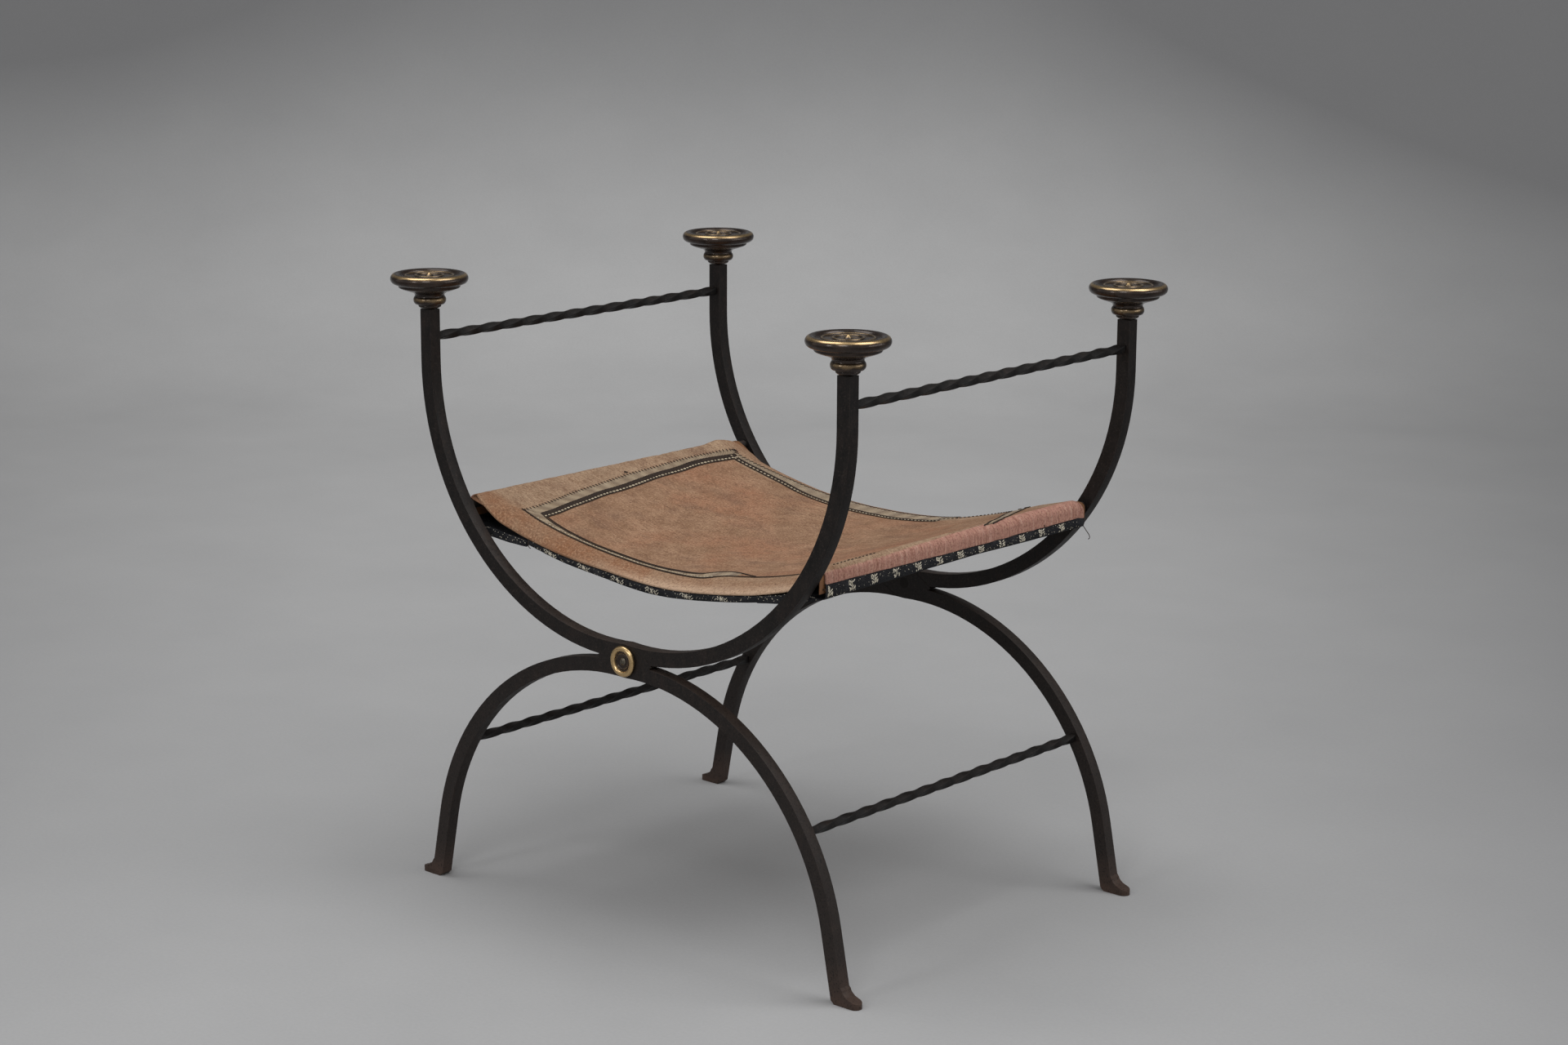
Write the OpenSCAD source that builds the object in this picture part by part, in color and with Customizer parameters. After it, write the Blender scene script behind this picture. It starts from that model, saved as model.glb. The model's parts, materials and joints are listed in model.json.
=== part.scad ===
// Folding X-frame stool: four forged iron bars crossed in two pairs, twisted cross rods,
// brass knobs and rosettes, and a cloth and leather sling seat hung on two round rods.
// X runs across the stool, Y from front to rear, Z up. The origin is on the floor, in the middle.
// Frame A is the left arm with the right leg, and frame B is its copy turned half round about Z.

/* [Frame] */
// Distance between the centre lines of the two arms, across the stool
arm_span = 579.4; // [560:0.1:600]
// Distance between the mid-planes of the front and the rear bars
frame_depth = 449.2; // [400:0.1:520]
// Height of the pivot above the floor
pivot_z = 296.9; // [285:0.1:310]
// Height between the centre lines of the upper and the lower bow at the pivot
bow_gap = 20.2; // [18:0.1:22]
// Radius of the centre line of an upper bow
arm_r = 267; // [255:0.5:275]
// Radius of the centre line of a lower bow
leg_r = 264; // [255:0.5:270]
// Distance from the middle of the stool to the centre of a lower bow
leg_cx = 15.5; // [10:0.1:20]
// Angle that a lower bow turns through before the leg runs straight
leg_turn = 79; // [76:0.5:82]
// Length of the straight upright end of an arm
arm_rise = 54.4; // [45:0.1:70]

/* [Bars] */
// Width of an arm, in the plane of the frame
arm_w = 15.6; // [14:0.1:18]
// Width of a leg, in the plane of the frame
leg_w = 15.2; // [14:0.1:18]
// Thickness of a bar, from front to rear
bar_t = 13.5; // [12:0.1:16]

/* [Crossing] */
// Radius of the round lug in which each bar is halved
lug_r = 20.3; // [19:0.1:21]
// Reach of the lug's tails along the bow
lug_tail = 38.5; // [34:0.5:44]
// Radius of the pivot pin
pin_r = 4; // [3:0.1:5]
// Radius of the pin's riveted end at the inner face
pin_head_r = 6.5; // [6:0.1:8]
// Depth of the countersink for the riveted end
pin_head_h = 2.2; // [1.5:0.1:3]
// Outer radius of a rosette
rosette_r = 16.3; // [14:0.1:18]
// Radius of the rosette's round ring, in section
rosette_ring_r = 3; // [2.5:0.1:3.5]
// Thickness of the rosette's plate
rosette_plate_t = 2; // [1.5:0.1:2.5]
// Radius of the rosette's fine inner ring, in section
rosette_bead_r = 0.8; // [0.5:0.1:1.2]
// Height of the coned tip of the pivot pin in the rosette
pin_tip_h = 1.6; // [1:0.1:2.5]

/* [Feet] */
// Length of a foot, from heel to toe
foot_l = 28.4; // [24:0.1:36]
// Distance that the heel lies behind the leg's centre line
heel_back = 3.9; // [2:0.1:5]
// Thickness of the foot at the leg
foot_t = 10; // [8:0.1:12]
// Thickness of the foot at its toe
toe_t = 5.5; // [4:0.1:7]
// Radius of the bend between leg and foot
foot_bend_r = 9; // [6:0.5:12]

/* [Knobs] */
// Radius of the knob's disc
knob_r = 41.1; // [36:0.1:46]
// Radius of the disc's rounded rim, in section
knob_rim_r = 5.6; // [5:0.1:7]
// Height of the disc's widest line above the knob's foot
knob_h = 31.2; // [29:0.1:36]
// Radius of the plate under the disc
knob_plate_r = 32.9; // [30:0.1:35]
// Drop of the plate's lower edge below the disc's widest line
knob_plate_drop = 10; // [8:0.1:11]
// Radius of the larger ring on the knob's top
knob_ring_r = 25.2; // [20:0.1:30]
// Radius of the smaller ring on the knob's top
knob_eye_r = 14.6; // [8:0.1:18]
// Radius of the two rings, in section
knob_ring_t = 1.5; // [1:0.1:2.5]
// Radius of the nub in the middle of the knob's top
nub_r = 4.4; // [3:0.1:6]
// Height of the nub
nub_h = 3.4; // [2:0.1:4]
// Radius of the bead on the knob's neck
knob_bead_r = 17.3; // [16:0.1:19]
// Height of the bead's widest line above the knob's foot
knob_bead_h = 8.5; // [7:0.1:9.5]
// Radius of the bead, in section
knob_bead_t = 5.5; // [4:0.1:6]
// Height of the hollow neck between the bead and the plate
knob_neck_h = 6; // [4:0.1:7]
// Radius of the knob's foot
knob_foot_r = 11.6; // [10:0.1:13]
// Radius of the stud that holds a knob
stud_r = 5; // [4:0.1:5.5]
// Gap between the arm's end and the knob's foot
knob_gap = 1.3; // [0:0.1:3]
// Depth of the stud's hole in the arm, and in the knob
stud_depth = 16; // [12:0.5:18]

/* [Rods] */
// Side of the square twisted rods
rod_s = 8; // [7:0.1:9]
// Full turns of twist in each rod
rod_turns = 3.5; // [2:0.25:5]
// Drop of the arm rods below the arms' upper ends
arm_rod_drop = 29.9; // [24:0.1:40]
// Height of the stretchers
stretcher_z = 164.4; // [140:0.5:190]
// Radius of the round seat rods
seat_rod_r = 5; // [4.5:0.1:6]
// Height of the seat rods
seat_rod_z = 421.7; // [410:0.1:440]
// Radius of the rods' riveted tenons
tenon_r = 3; // [2.5:0.1:3.5]
// Length of the tenons
tenon_l = 9; // [6:0.5:11]

/* [Seat] */
// Sag of the leather's middle below the axes of its rods
sag = 43.7; // [36:0.1:52]
// Radius of the sling's main curve
sag_r = 900; // [850:10:1000]
// Radius of the curve by which the sling climbs to its rods
climb_r = 60; // [40:1:80]
// Thickness of the leather
leather_t = 1.8; // [1.2:0.1:2.4]
// Thickness of the velvet cover
cover_t = 1.8; // [1.2:0.1:2.6]
// Thickness of the woven bands
band_t = 2.2; // [1.5:0.1:3]
// Thickness of the rolled bands under the front and rear edges
roll_t = 4.4; // [3:0.1:5]
// Width of the rolled bands
roll_w = 24; // [16:1:36]
// Distance from the bar to the end of the leather
leather_inset = 4; // [3:0.5:8]
// Distance from the bar to the end of the velvet cover
cover_inset = 9; // [6:0.5:14]
// Distance that the edges of the cover draw in at the middle
waist = 5; // [0:0.5:12]
// Drop of the leather below the axis of its rod
hem_drop = 17; // [14:0.5:20]
// Drop of the cover's lower edge below the axis of its rod
cover_drop = 6; // [3:0.5:8]
// Distance that the bottom of a hem runs in towards the middle
hem_reach = 80; // [60:1:100]
// Sag of the bottom of a hem
hem_sag = 5; // [0:0.5:8]
// Radius of a hem's lower corner
corner_r = 2.5; // [2:0.1:4]

/* [Fits] */
// Gap between the faces and shoulders of the halved bars
lap_gap = 0.3; // [0.2:0.05:0.4]
// Radial clearance of pins, studs and tenons in their holes
fit = 0.05; // [0.02:0.01:0.08]
// Gap between layers of the seat, and between the leather and its rods
cloth_gap = 0.3; // [0.3:0.05:0.5]

/* [Hidden] */

$fn = 96;
iron = [0.11, 0.10, 0.10];
brass = [0.42, 0.32, 0.18];
velvet = [0.68, 0.50, 0.38];
hide = [0.55, 0.33, 0.15];
weave = [0.10, 0.10, 0.11];

// Where the bars run
half_span = arm_span / 2;
half_depth = frame_depth / 2;
inner_y = half_depth - bar_t / 2;
arm_cx = half_span - arm_r;
arm_cz = pivot_z + bow_gap / 2 + sqrt(arm_r * arm_r - arm_cx * arm_cx);
arm_top = arm_cz + arm_rise;
leg_cz = pivot_z - bow_gap / 2 - sqrt(leg_r * leg_r - leg_cx * leg_cx);
leg_lean = 90 - leg_turn;
knee = [leg_cx + leg_r * sin(leg_turn), leg_cz + leg_r * cos(leg_turn)];
leg_foot_x = knee[0] + knee[1] * tan(leg_lean);
knob_z = arm_top + knob_gap;
arm_rod_z = arm_top - arm_rod_drop;
far = 2 * arm_r;

// Where the rods meet the bars' centre lines
function arm_x(z) = arm_cx + (z >= arm_cz ? arm_r : sqrt(pow(arm_r, 2) - pow(arm_cz - z, 2)));
function leg_x(z) = leg_cx + sqrt(pow(leg_r, 2) - pow(z - leg_cz, 2));
seat_rod_x = arm_x(seat_rod_z);

// Outlines of a frame A bar, in the X and Z plane

module ring(r, w) {
    difference() {
        circle(r = r + w / 2);
        circle(r = r - w / 2);
    }
}

module arm_outline() {
    intersection() {
        translate([-arm_cx, arm_cz]) ring(arm_r, arm_w);
        translate([-far, arm_cz - far]) square([far, far]);
    }
    translate([-half_span - arm_w / 2, arm_cz]) square([arm_w, arm_rise]);
}

// The middle of the lower bow's circle, with +X towards the knee, where the leg runs straight
module at_knee() {
    translate([leg_cx, leg_cz]) rotate(leg_lean) children();
}

module leg_outline() {
    intersection() {
        translate([0, leg_cz]) square([far, far]);
        at_knee() intersection() {
            ring(leg_r, leg_w);
            translate([-far, 0]) square([2 * far, far]);
        }
    }
    difference() {
        union() {
            at_knee() translate([leg_r - leg_w / 2, -far]) square([leg_w, far]);
            toe_outline();
        }
        translate([0, -far]) square([far, far]);
        heel_outline();
    }
}

// The foot, which turns outward from the leg with a rounded bend
module toe_outline() {
    out_x = leg_foot_x + leg_w / 2 / cos(leg_lean);
    toe_x = leg_foot_x - heel_back + foot_l;
    slope = atan((foot_t - toe_t) / (toe_x - out_x));
    root = [out_x - foot_t * tan(leg_lean), foot_t];
    bend_top = root + foot_bend_r * [-tan(leg_lean), 1];
    bend_end = root + [foot_bend_r * tan((90 + leg_lean) / 4 + slope / 2), 0];
    difference() {
        polygon([
            [leg_foot_x, 0], [leg_foot_x, foot_t], bend_top + (bend_top - bend_end) / 2,
            bend_end, [toe_x, toe_t], [toe_x, 0]
        ]);
        translate(root + [foot_bend_r, foot_bend_r]) circle(r = foot_bend_r);
    }
}

// The corner that is forged away behind the heel
module heel_outline() {
    heel = [leg_foot_x - heel_back, 0];
    back = [leg_foot_x - leg_w / 2 / cos(leg_lean) - heel_back * tan(leg_lean), heel_back];
    polygon([heel + (heel - back), back + (back - heel), [back[0] - leg_w, back[1]], [back[0] - leg_w, -leg_w]]);
}

// The area round the crossing that lies between the bows' inner edges
module crossing_outline() {
    difference() {
        translate([-lug_tail, pivot_z - 2 * lug_r]) square([2 * lug_tail, 4 * lug_r]);
        for (side = [0, 1]) mirror([side, 0]) {
            translate([-arm_cx, arm_cz]) circle(r = arm_r - arm_w / 2);
            at_knee() circle(r = leg_r - leg_w / 2);
        }
    }
}

// A round lug with a straight tail on each side, whose flanks are tangent to it
module lug_outline(more = 0) {
    r = lug_r + more;
    tail = lug_tail + 2 * more;
    a = acos(r / tail);
    translate([0, pivot_z]) {
        circle(r = r);
        polygon([
            [tail, 0], [r * cos(a), r * sin(a)], [-r * cos(a), r * sin(a)],
            [-tail, 0], [-r * cos(a), -r * sin(a)], [r * cos(a), -r * sin(a)]
        ]);
    }
}

module bow_outline() {
    arm_outline();
    leg_outline();
}

// The half of the bar that passes over the other bar
module over_outline() {
    bow_outline();
    intersection() {
        lug_outline();
        crossing_outline();
    }
}

// The half of the bar that makes room for the other bar's lug
module under_outline() {
    difference() {
        bow_outline();
        lug_outline(lap_gap);
    }
}

// A slab of an outline in the X and Z plane, from y0 to y1
module slab(y0, y1) {
    translate([0, y1, 0]) rotate([90, 0, 0]) linear_extrude(height = y1 - y0) children();
}

// The foot's outline from above, with its rounded toe
module toe_plan() {
    toe_x = leg_foot_x - heel_back + foot_l;
    translate([-far, -bar_t / 2]) square([far + toe_x - bar_t / 2, bar_t]);
    translate([toe_x - bar_t / 2, 0]) circle(r = bar_t / 2);
}

// A frame A bar about y = 0, whose lug is in its front half. inner is 1 where the
// stool's inside lies towards +Y, and -1 where it lies towards -Y.
module bar(inner) {
    color(iron) difference() {
        intersection() {
            union() {
                slab(-bar_t / 2, -lap_gap / 2) over_outline();
                slab(-lap_gap / 2, bar_t / 2) under_outline();
            }
            linear_extrude(height = 2 * arm_top) toe_plan();
        }
        pivot_hole(inner);
        translate([-half_span, 0, arm_top - stud_depth])
            cylinder(r = stud_r + fit, h = 2 * stud_depth);
        tenon_hole([-arm_x(arm_rod_z), arm_rod_z], inner);
        tenon_hole([-seat_rod_x, seat_rod_z], inner);
        tenon_hole([leg_x(stretcher_z), stretcher_z], inner);
    }
}

module pivot_hole(inner) {
    translate([0, bar_t, pivot_z]) rotate([90, 0, 0]) cylinder(r = pin_r + fit, h = 2 * bar_t);
    if (inner < 0) translate([0, -bar_t / 2, pivot_z]) rotate([-90, 0, 0]) head_cone(fit);
}

// The cone of a pin's riveted end, wide at the origin and narrow along +Z
module head_cone(more) {
    cylinder(r1 = pin_head_r + more, r2 = pin_r + more, h = pin_head_h);
}

module tenon_hole(at, inner) {
    translate([at[0], inner * bar_t / 2, at[1]]) rotate([inner * 90, 0, 0])
        translate([0, 0, -bar_t / 4]) cylinder(r = tenon_r + fit, h = tenon_l + bar_t / 4 + fit);
}

module front_left_bar() {
    translate([0, -half_depth, 0]) bar(1);
}

module rear_left_bar() {
    translate([0, half_depth, 0]) bar(-1);
}

module front_right_bar() {
    rotate([0, 0, 180]) rear_left_bar();
}

module rear_right_bar() {
    rotate([0, 0, 180]) front_left_bar();
}

// Rods

module tenons(x, z) {
    for (s = [-1, 1])
        translate([x, s * inner_y, z]) rotate([-s * 90, 0, 0]) cylinder(r = tenon_r, h = tenon_l);
}

module twisted_rod(x, z) {
    color(iron) {
        translate([x, inner_y, z]) rotate([90, 0, 0])
            linear_extrude(height = 2 * inner_y, twist = 360 * rod_turns, slices = 24 * rod_turns, $fn = 4)
                square(rod_s, center = true);
        tenons(x, z);
    }
}

module seat_rod(x) {
    color(iron) {
        translate([x, inner_y, seat_rod_z]) rotate([90, 0, 0])
            cylinder(r = seat_rod_r, h = 2 * inner_y);
        tenons(x, seat_rod_z);
    }
}

module left_arm_rod() {
    twisted_rod(-arm_x(arm_rod_z), arm_rod_z);
}

module right_arm_rod() {
    twisted_rod(arm_x(arm_rod_z), arm_rod_z);
}

module left_stretcher() {
    twisted_rod(-leg_x(stretcher_z), stretcher_z);
}

module right_stretcher() {
    twisted_rod(leg_x(stretcher_z), stretcher_z);
}

module left_seat_rod() {
    seat_rod(-seat_rod_x);
}

module right_seat_rod() {
    seat_rod(seat_rod_x);
}

// Knobs, turned about Z with their foot at z = 0

dish_z = knob_h + knob_rim_r / 2;
plate_z = knob_h - knob_plate_drop;
neck_z = plate_z - knob_neck_h;
step = 1;
lip = 0.6;

module knob_outline() {
    rim_x = knob_r - knob_rim_r;
    plate_top = knob_h - knob_rim_r + step;
    difference() {
        union() {
            translate([rim_x, knob_h]) circle(r = knob_rim_r);
            translate([0, knob_h - knob_rim_r]) square([rim_x, dish_z - knob_h + knob_rim_r]);
            polygon([
                [0, neck_z], [knob_bead_r - step, neck_z],
                [knob_plate_r - 4 * step, plate_z], [knob_plate_r, plate_z + step],
                [knob_plate_r, plate_top], [0, plate_top]
            ]);
            polygon([
                [0, 0], [knob_foot_r - lip, 0], [knob_foot_r, step], [knob_foot_r - lip, 2 * step],
                [knob_foot_r + lip, 3 * step], [knob_bead_r - knob_bead_t, knob_bead_h],
                [knob_bead_r - step, neck_z], [0, neck_z]
            ]);
            translate([knob_bead_r - knob_bead_t, knob_bead_h]) circle(r = knob_bead_t);
            for (r = [knob_ring_r, knob_eye_r]) translate([r, dish_z]) circle(r = knob_ring_t);
            polygon([[0, dish_z], [nub_r, dish_z], [nub_r - step, dish_z + step], [0, dish_z + nub_h]]);
        }
        translate([-far, -far]) square([far, 2 * far]);
        translate([0, -step]) square([stud_r + fit, stud_depth + step]);
    }
}

module knob(x, y) {
    color(brass) translate([x, y, knob_z]) rotate_extrude() knob_outline();
}

module front_left_knob() {
    knob(-half_span, -half_depth);
}

module rear_left_knob() {
    knob(-half_span, half_depth);
}

module front_right_knob() {
    knob(half_span, -half_depth);
}

module rear_right_knob() {
    knob(half_span, half_depth);
}

module studs(x) {
    color(iron) for (s = [-1, 1])
        translate([x, s * half_depth, arm_top - stud_depth])
            cylinder(r = stud_r, h = 2 * stud_depth + knob_gap);
}

module left_knob_studs() {
    studs(-half_span);
}

module right_knob_studs() {
    studs(half_span);
}

// Pivot pins and rosettes, about an axis that points out of the frame along +Z

module pin() {
    rosette_top = rosette_plate_t + lap_gap;
    color(iron) {
        translate([0, 0, -bar_t]) cylinder(r = pin_r, h = bar_t + rosette_top);
        translate([0, 0, -bar_t]) head_cone(0);
        translate([0, 0, rosette_top]) cylinder(r1 = pin_r, r2 = pin_r / 2, h = pin_tip_h);
    }
}

module rosette_outline() {
    difference() {
        union() {
            translate([pin_r + fit, 0]) square([rosette_r - rosette_ring_r - pin_r, rosette_plate_t]);
            translate([rosette_r - rosette_ring_r, rosette_plate_t]) circle(r = rosette_ring_r);
            translate([rosette_r / 2, rosette_plate_t]) circle(r = rosette_bead_r);
        }
        translate([0, -far]) square([rosette_r + 1, far]);
    }
}

module rosette() {
    color(brass) translate([0, 0, lap_gap / 2]) rotate_extrude() rosette_outline();
}

module at_front() {
    translate([0, -half_depth - bar_t / 2, pivot_z]) rotate([90, 0, 0]) children();
}

module at_rear() {
    rotate([0, 0, 180]) at_front() children();
}

module front_pivot_pin() {
    at_front() pin();
}

module rear_pivot_pin() {
    at_rear() pin();
}

module front_rosette() {
    at_front() rosette();
}

module rear_rosette() {
    at_rear() rosette();
}

// Seat. A layer is a path in the X and Z plane with a thickness, drawn along Y. The leather's
// path runs up from the sag to a seat rod, over it and down its outer side. Every other layer's
// path lies at a constant distance from the leather's.

function circle_cross(c0, r0, c1, r1) =
    let (d = c1 - c0, l = norm(d), a = (r0 * r0 - r1 * r1 + l * l) / (2 * l))
    let (h = sqrt(r0 * r0 - a * a))
    c0 + a * d / l + h * [-d[1], d[0]] / l;

rod = [seat_rod_x, seat_rod_z];
wrap_r = seat_rod_r + cloth_gap + leather_t / 2;
sag_c = [0, seat_rod_z - sag + sag_r];
climb_c = circle_cross(rod, wrap_r + climb_r, sag_c, sag_r - climb_r);
sag_turn = atan2(climb_c[0] - sag_c[0], sag_c[1] - climb_c[1]);
climb_turn = atan2(rod[0] - climb_c[0], climb_c[1] - rod[1]);

function arc(c, r, a0, a1, n) = [for (i = [0 : n]) let (a = a0 + (a1 - a0) * i / n) c + r * [sin(a), -cos(a)]];

// The right half of a layer, at a distance up from the leather's path, to a drop below the rod
function half_path(up, drop) = concat(
    arc(sag_c, sag_r - up, 0, sag_turn, 18),
    [for (i = [1 : 8]) arc(climb_c, climb_r - up, sag_turn, climb_turn, 8)[i]],
    [for (i = [1 : 14]) arc(rod, wrap_r + up, 180 + climb_turn, 90, 14)[i]],
    [rod + [wrap_r + up, -drop]]
);

function mirrored(path) = [for (i = [len(path) - 1 : -1 : 1]) [-path[i][0], path[i][1]]];
function full_path(up, drop) = concat(mirrored(half_path(up, drop)), half_path(up, drop));

function heading(path, i) =
    let (d = path[min(i + 1, len(path) - 1)] - path[max(i - 1, 0)])
    d / norm(d);
function shifted(path, by) = [
    for (i = [0 : len(path) - 1]) let (d = heading(path, i)) path[i] + by * [-d[1], d[0]]
];

// A layer of thickness t about a path, between y0(x) and y1(x) of its edges
module layer(path, t, y0, y1, draw_in = 0) {
    n = len(path);
    top = shifted(path, t / 2);
    low = shifted(path, -t / 2);
    function pull(p) = draw_in * max(0, 1 - pow(p[0] / seat_rod_x, 2));
    function at(p, y, s) = [p[0], y + s * pull(p), p[1]];
    points = concat(
        [for (p = top) at(p, y0, 1)], [for (p = top) at(p, y1, -1)],
        [for (p = low) at(p, y1, -1)], [for (p = low) at(p, y0, 1)]
    );
    faces = concat(
        [for (i = [0 : n - 2], k = [0 : 3]) let (a = k * n + i, b = ((k + 1) % 4) * n + i) [a, b, b + 1]],
        [for (i = [0 : n - 2], k = [0 : 3]) let (a = k * n + i, b = ((k + 1) % 4) * n + i) [a, b + 1, a + 1]],
        [[0, 2 * n, n], [0, 3 * n, 2 * n]],
        [[n - 1, 2 * n - 1, 3 * n - 1], [n - 1, 3 * n - 1, 4 * n - 1]]
    );
    polyhedron(points = points, faces = faces, convexity = 6);
}

leather_y = inner_y - leather_inset;
cover_y = inner_y - cover_inset;
cover_up = leather_t / 2 + cloth_gap + cover_t / 2;
band_up = leather_t / 2 + cloth_gap + band_t / 2;
roll_down = leather_t / 2 + cloth_gap + roll_t / 2;

module seat_leather() {
    color(hide) layer(full_path(0, hem_drop), leather_t, -leather_y, leather_y, waist);
}

module seat_cover() {
    color(velvet) layer(full_path(cover_up, cover_drop), cover_t, -cover_y, cover_y, waist);
}

// The band that closes a hem: down its outer side, round its corner and in under the sling
corner = rod + [wrap_r, -hem_drop];
hem_end_x = seat_rod_x - hem_reach;
hem_end = [hem_end_x, sag_c[1] - sqrt(pow(sag_r, 2) - pow(hem_end_x, 2)) - band_up - cloth_gap];
hem_start = corner + [band_up - corner_r, -band_up - corner_r];

function bend(a, b, c, n) = [
    for (i = [0 : n]) let (u = i / n) (1 - u) * (1 - u) * a + 2 * u * (1 - u) * b + u * u * c
];

function band_path() = concat(
    [rod + [wrap_r + band_up, -cover_drop - cloth_gap]],
    arc(corner + [band_up - corner_r, -band_up], corner_r, 90, 0, 6),
    [for (i = [1 : 12]) bend(hem_start, (hem_start + hem_end) / 2 - [0, 2 * hem_sag], hem_end, 12)[i]]
);

module side_trim() {
    color(weave) layer(band_path(), band_t, -cover_y, cover_y, 0);
}

module right_trim() {
    side_trim();
}

module left_trim() {
    rotate([0, 0, 180]) side_trim();
}

module edge_trim() {
    a = asin((hem_end_x - 1) / sag_r);
    color(weave) layer(arc(sag_c, sag_r + roll_down, -a, a, 24), roll_t, -cover_y, -cover_y + roll_w, 0);
}

module front_trim() {
    edge_trim();
}

module rear_trim() {
    rotate([0, 0, 180]) edge_trim();
}

front_left_bar();
rear_left_bar();
front_right_bar();
rear_right_bar();
left_arm_rod();
right_arm_rod();
left_stretcher();
right_stretcher();
left_seat_rod();
right_seat_rod();
front_left_knob();
rear_left_knob();
front_right_knob();
rear_right_knob();
left_knob_studs();
right_knob_studs();
front_pivot_pin();
rear_pivot_pin();
front_rosette();
rear_rosette();
seat_leather();
seat_cover();
left_trim();
right_trim();
front_trim();
rear_trim();
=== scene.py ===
# Looks of the folding X-frame stool: forged iron, patinated brass and an embroidered cloth sling.
import json
import math

import bpy
import numpy as np
from mathutils import Matrix, Vector, noise

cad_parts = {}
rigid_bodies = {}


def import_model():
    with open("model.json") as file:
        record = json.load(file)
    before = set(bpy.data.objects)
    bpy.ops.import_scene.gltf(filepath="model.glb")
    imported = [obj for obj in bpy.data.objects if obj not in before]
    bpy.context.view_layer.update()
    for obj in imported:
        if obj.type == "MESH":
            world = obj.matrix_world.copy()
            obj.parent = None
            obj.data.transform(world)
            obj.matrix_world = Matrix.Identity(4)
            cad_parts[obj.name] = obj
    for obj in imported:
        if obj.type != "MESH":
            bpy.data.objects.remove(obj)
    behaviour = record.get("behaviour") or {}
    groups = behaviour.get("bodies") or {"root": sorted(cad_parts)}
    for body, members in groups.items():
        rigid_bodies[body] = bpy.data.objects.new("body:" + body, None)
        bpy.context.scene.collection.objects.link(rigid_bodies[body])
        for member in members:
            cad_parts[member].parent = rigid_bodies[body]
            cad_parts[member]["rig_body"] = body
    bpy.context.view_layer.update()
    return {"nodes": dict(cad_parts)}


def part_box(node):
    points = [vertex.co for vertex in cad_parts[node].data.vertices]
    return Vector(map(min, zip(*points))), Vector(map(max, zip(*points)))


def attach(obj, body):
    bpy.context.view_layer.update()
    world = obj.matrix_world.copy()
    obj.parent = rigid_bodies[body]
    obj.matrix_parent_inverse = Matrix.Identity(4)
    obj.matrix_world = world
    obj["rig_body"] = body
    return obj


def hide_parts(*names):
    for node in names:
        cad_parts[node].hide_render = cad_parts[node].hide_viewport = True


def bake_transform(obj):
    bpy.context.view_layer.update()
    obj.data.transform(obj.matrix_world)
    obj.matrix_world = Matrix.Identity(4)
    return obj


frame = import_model()
MM = 0.001


def mm(*values):
    """Lengths given in millimetres."""
    return tuple(v * MM for v in values)


def middle(node, axis):
    """The middle of a node along an axis."""
    low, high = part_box(node)
    return (low[axis] + high[axis]) / 2


def body_of(node):
    """The body that carries a CAD node."""
    return frame["nodes"][node]["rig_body"]


def srgb(*colour):
    """A colour as it looks on a screen, 0 to 255, as linear values."""
    linear = [c / 255 / 12.92 if c <= 10 else ((c / 255 + 0.055) / 1.055) ** 2.4 for c in colour]
    return (*linear, 1)


def add_object(name, data):
    made = bpy.data.objects.new(name, data)
    bpy.context.scene.collection.objects.link(made)
    return made


# Camera

LENS = 73.13
CAMERA_AT = (2.19447, -2.47224, 1.15864)
CAMERA_YAW, CAMERA_PITCH, CAMERA_ROLL = 0.72318, 0.22473, 0.005


def make_camera():
    cy, sy = math.cos(CAMERA_YAW), math.sin(CAMERA_YAW)
    cp, sp = math.cos(CAMERA_PITCH), math.sin(CAMERA_PITCH)
    forward = Vector((-sy * cp, cy * cp, -sp))
    right = Vector((cy, sy, 0))
    up = right.cross(forward)
    cr, sr = math.cos(CAMERA_ROLL), math.sin(CAMERA_ROLL)
    axes = (cr * right + sr * up, -sr * right + cr * up, -forward)
    camera = add_object("camera", bpy.data.cameras.new("camera"))
    camera.data.lens = LENS
    camera.matrix_world = Matrix.Translation(CAMERA_AT) @ Matrix(axes).transposed().to_4x4()
    bpy.context.scene.camera = camera
    bpy.context.scene.view_settings.view_transform = "Standard"


# Materials: small helpers, then one function for each


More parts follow.
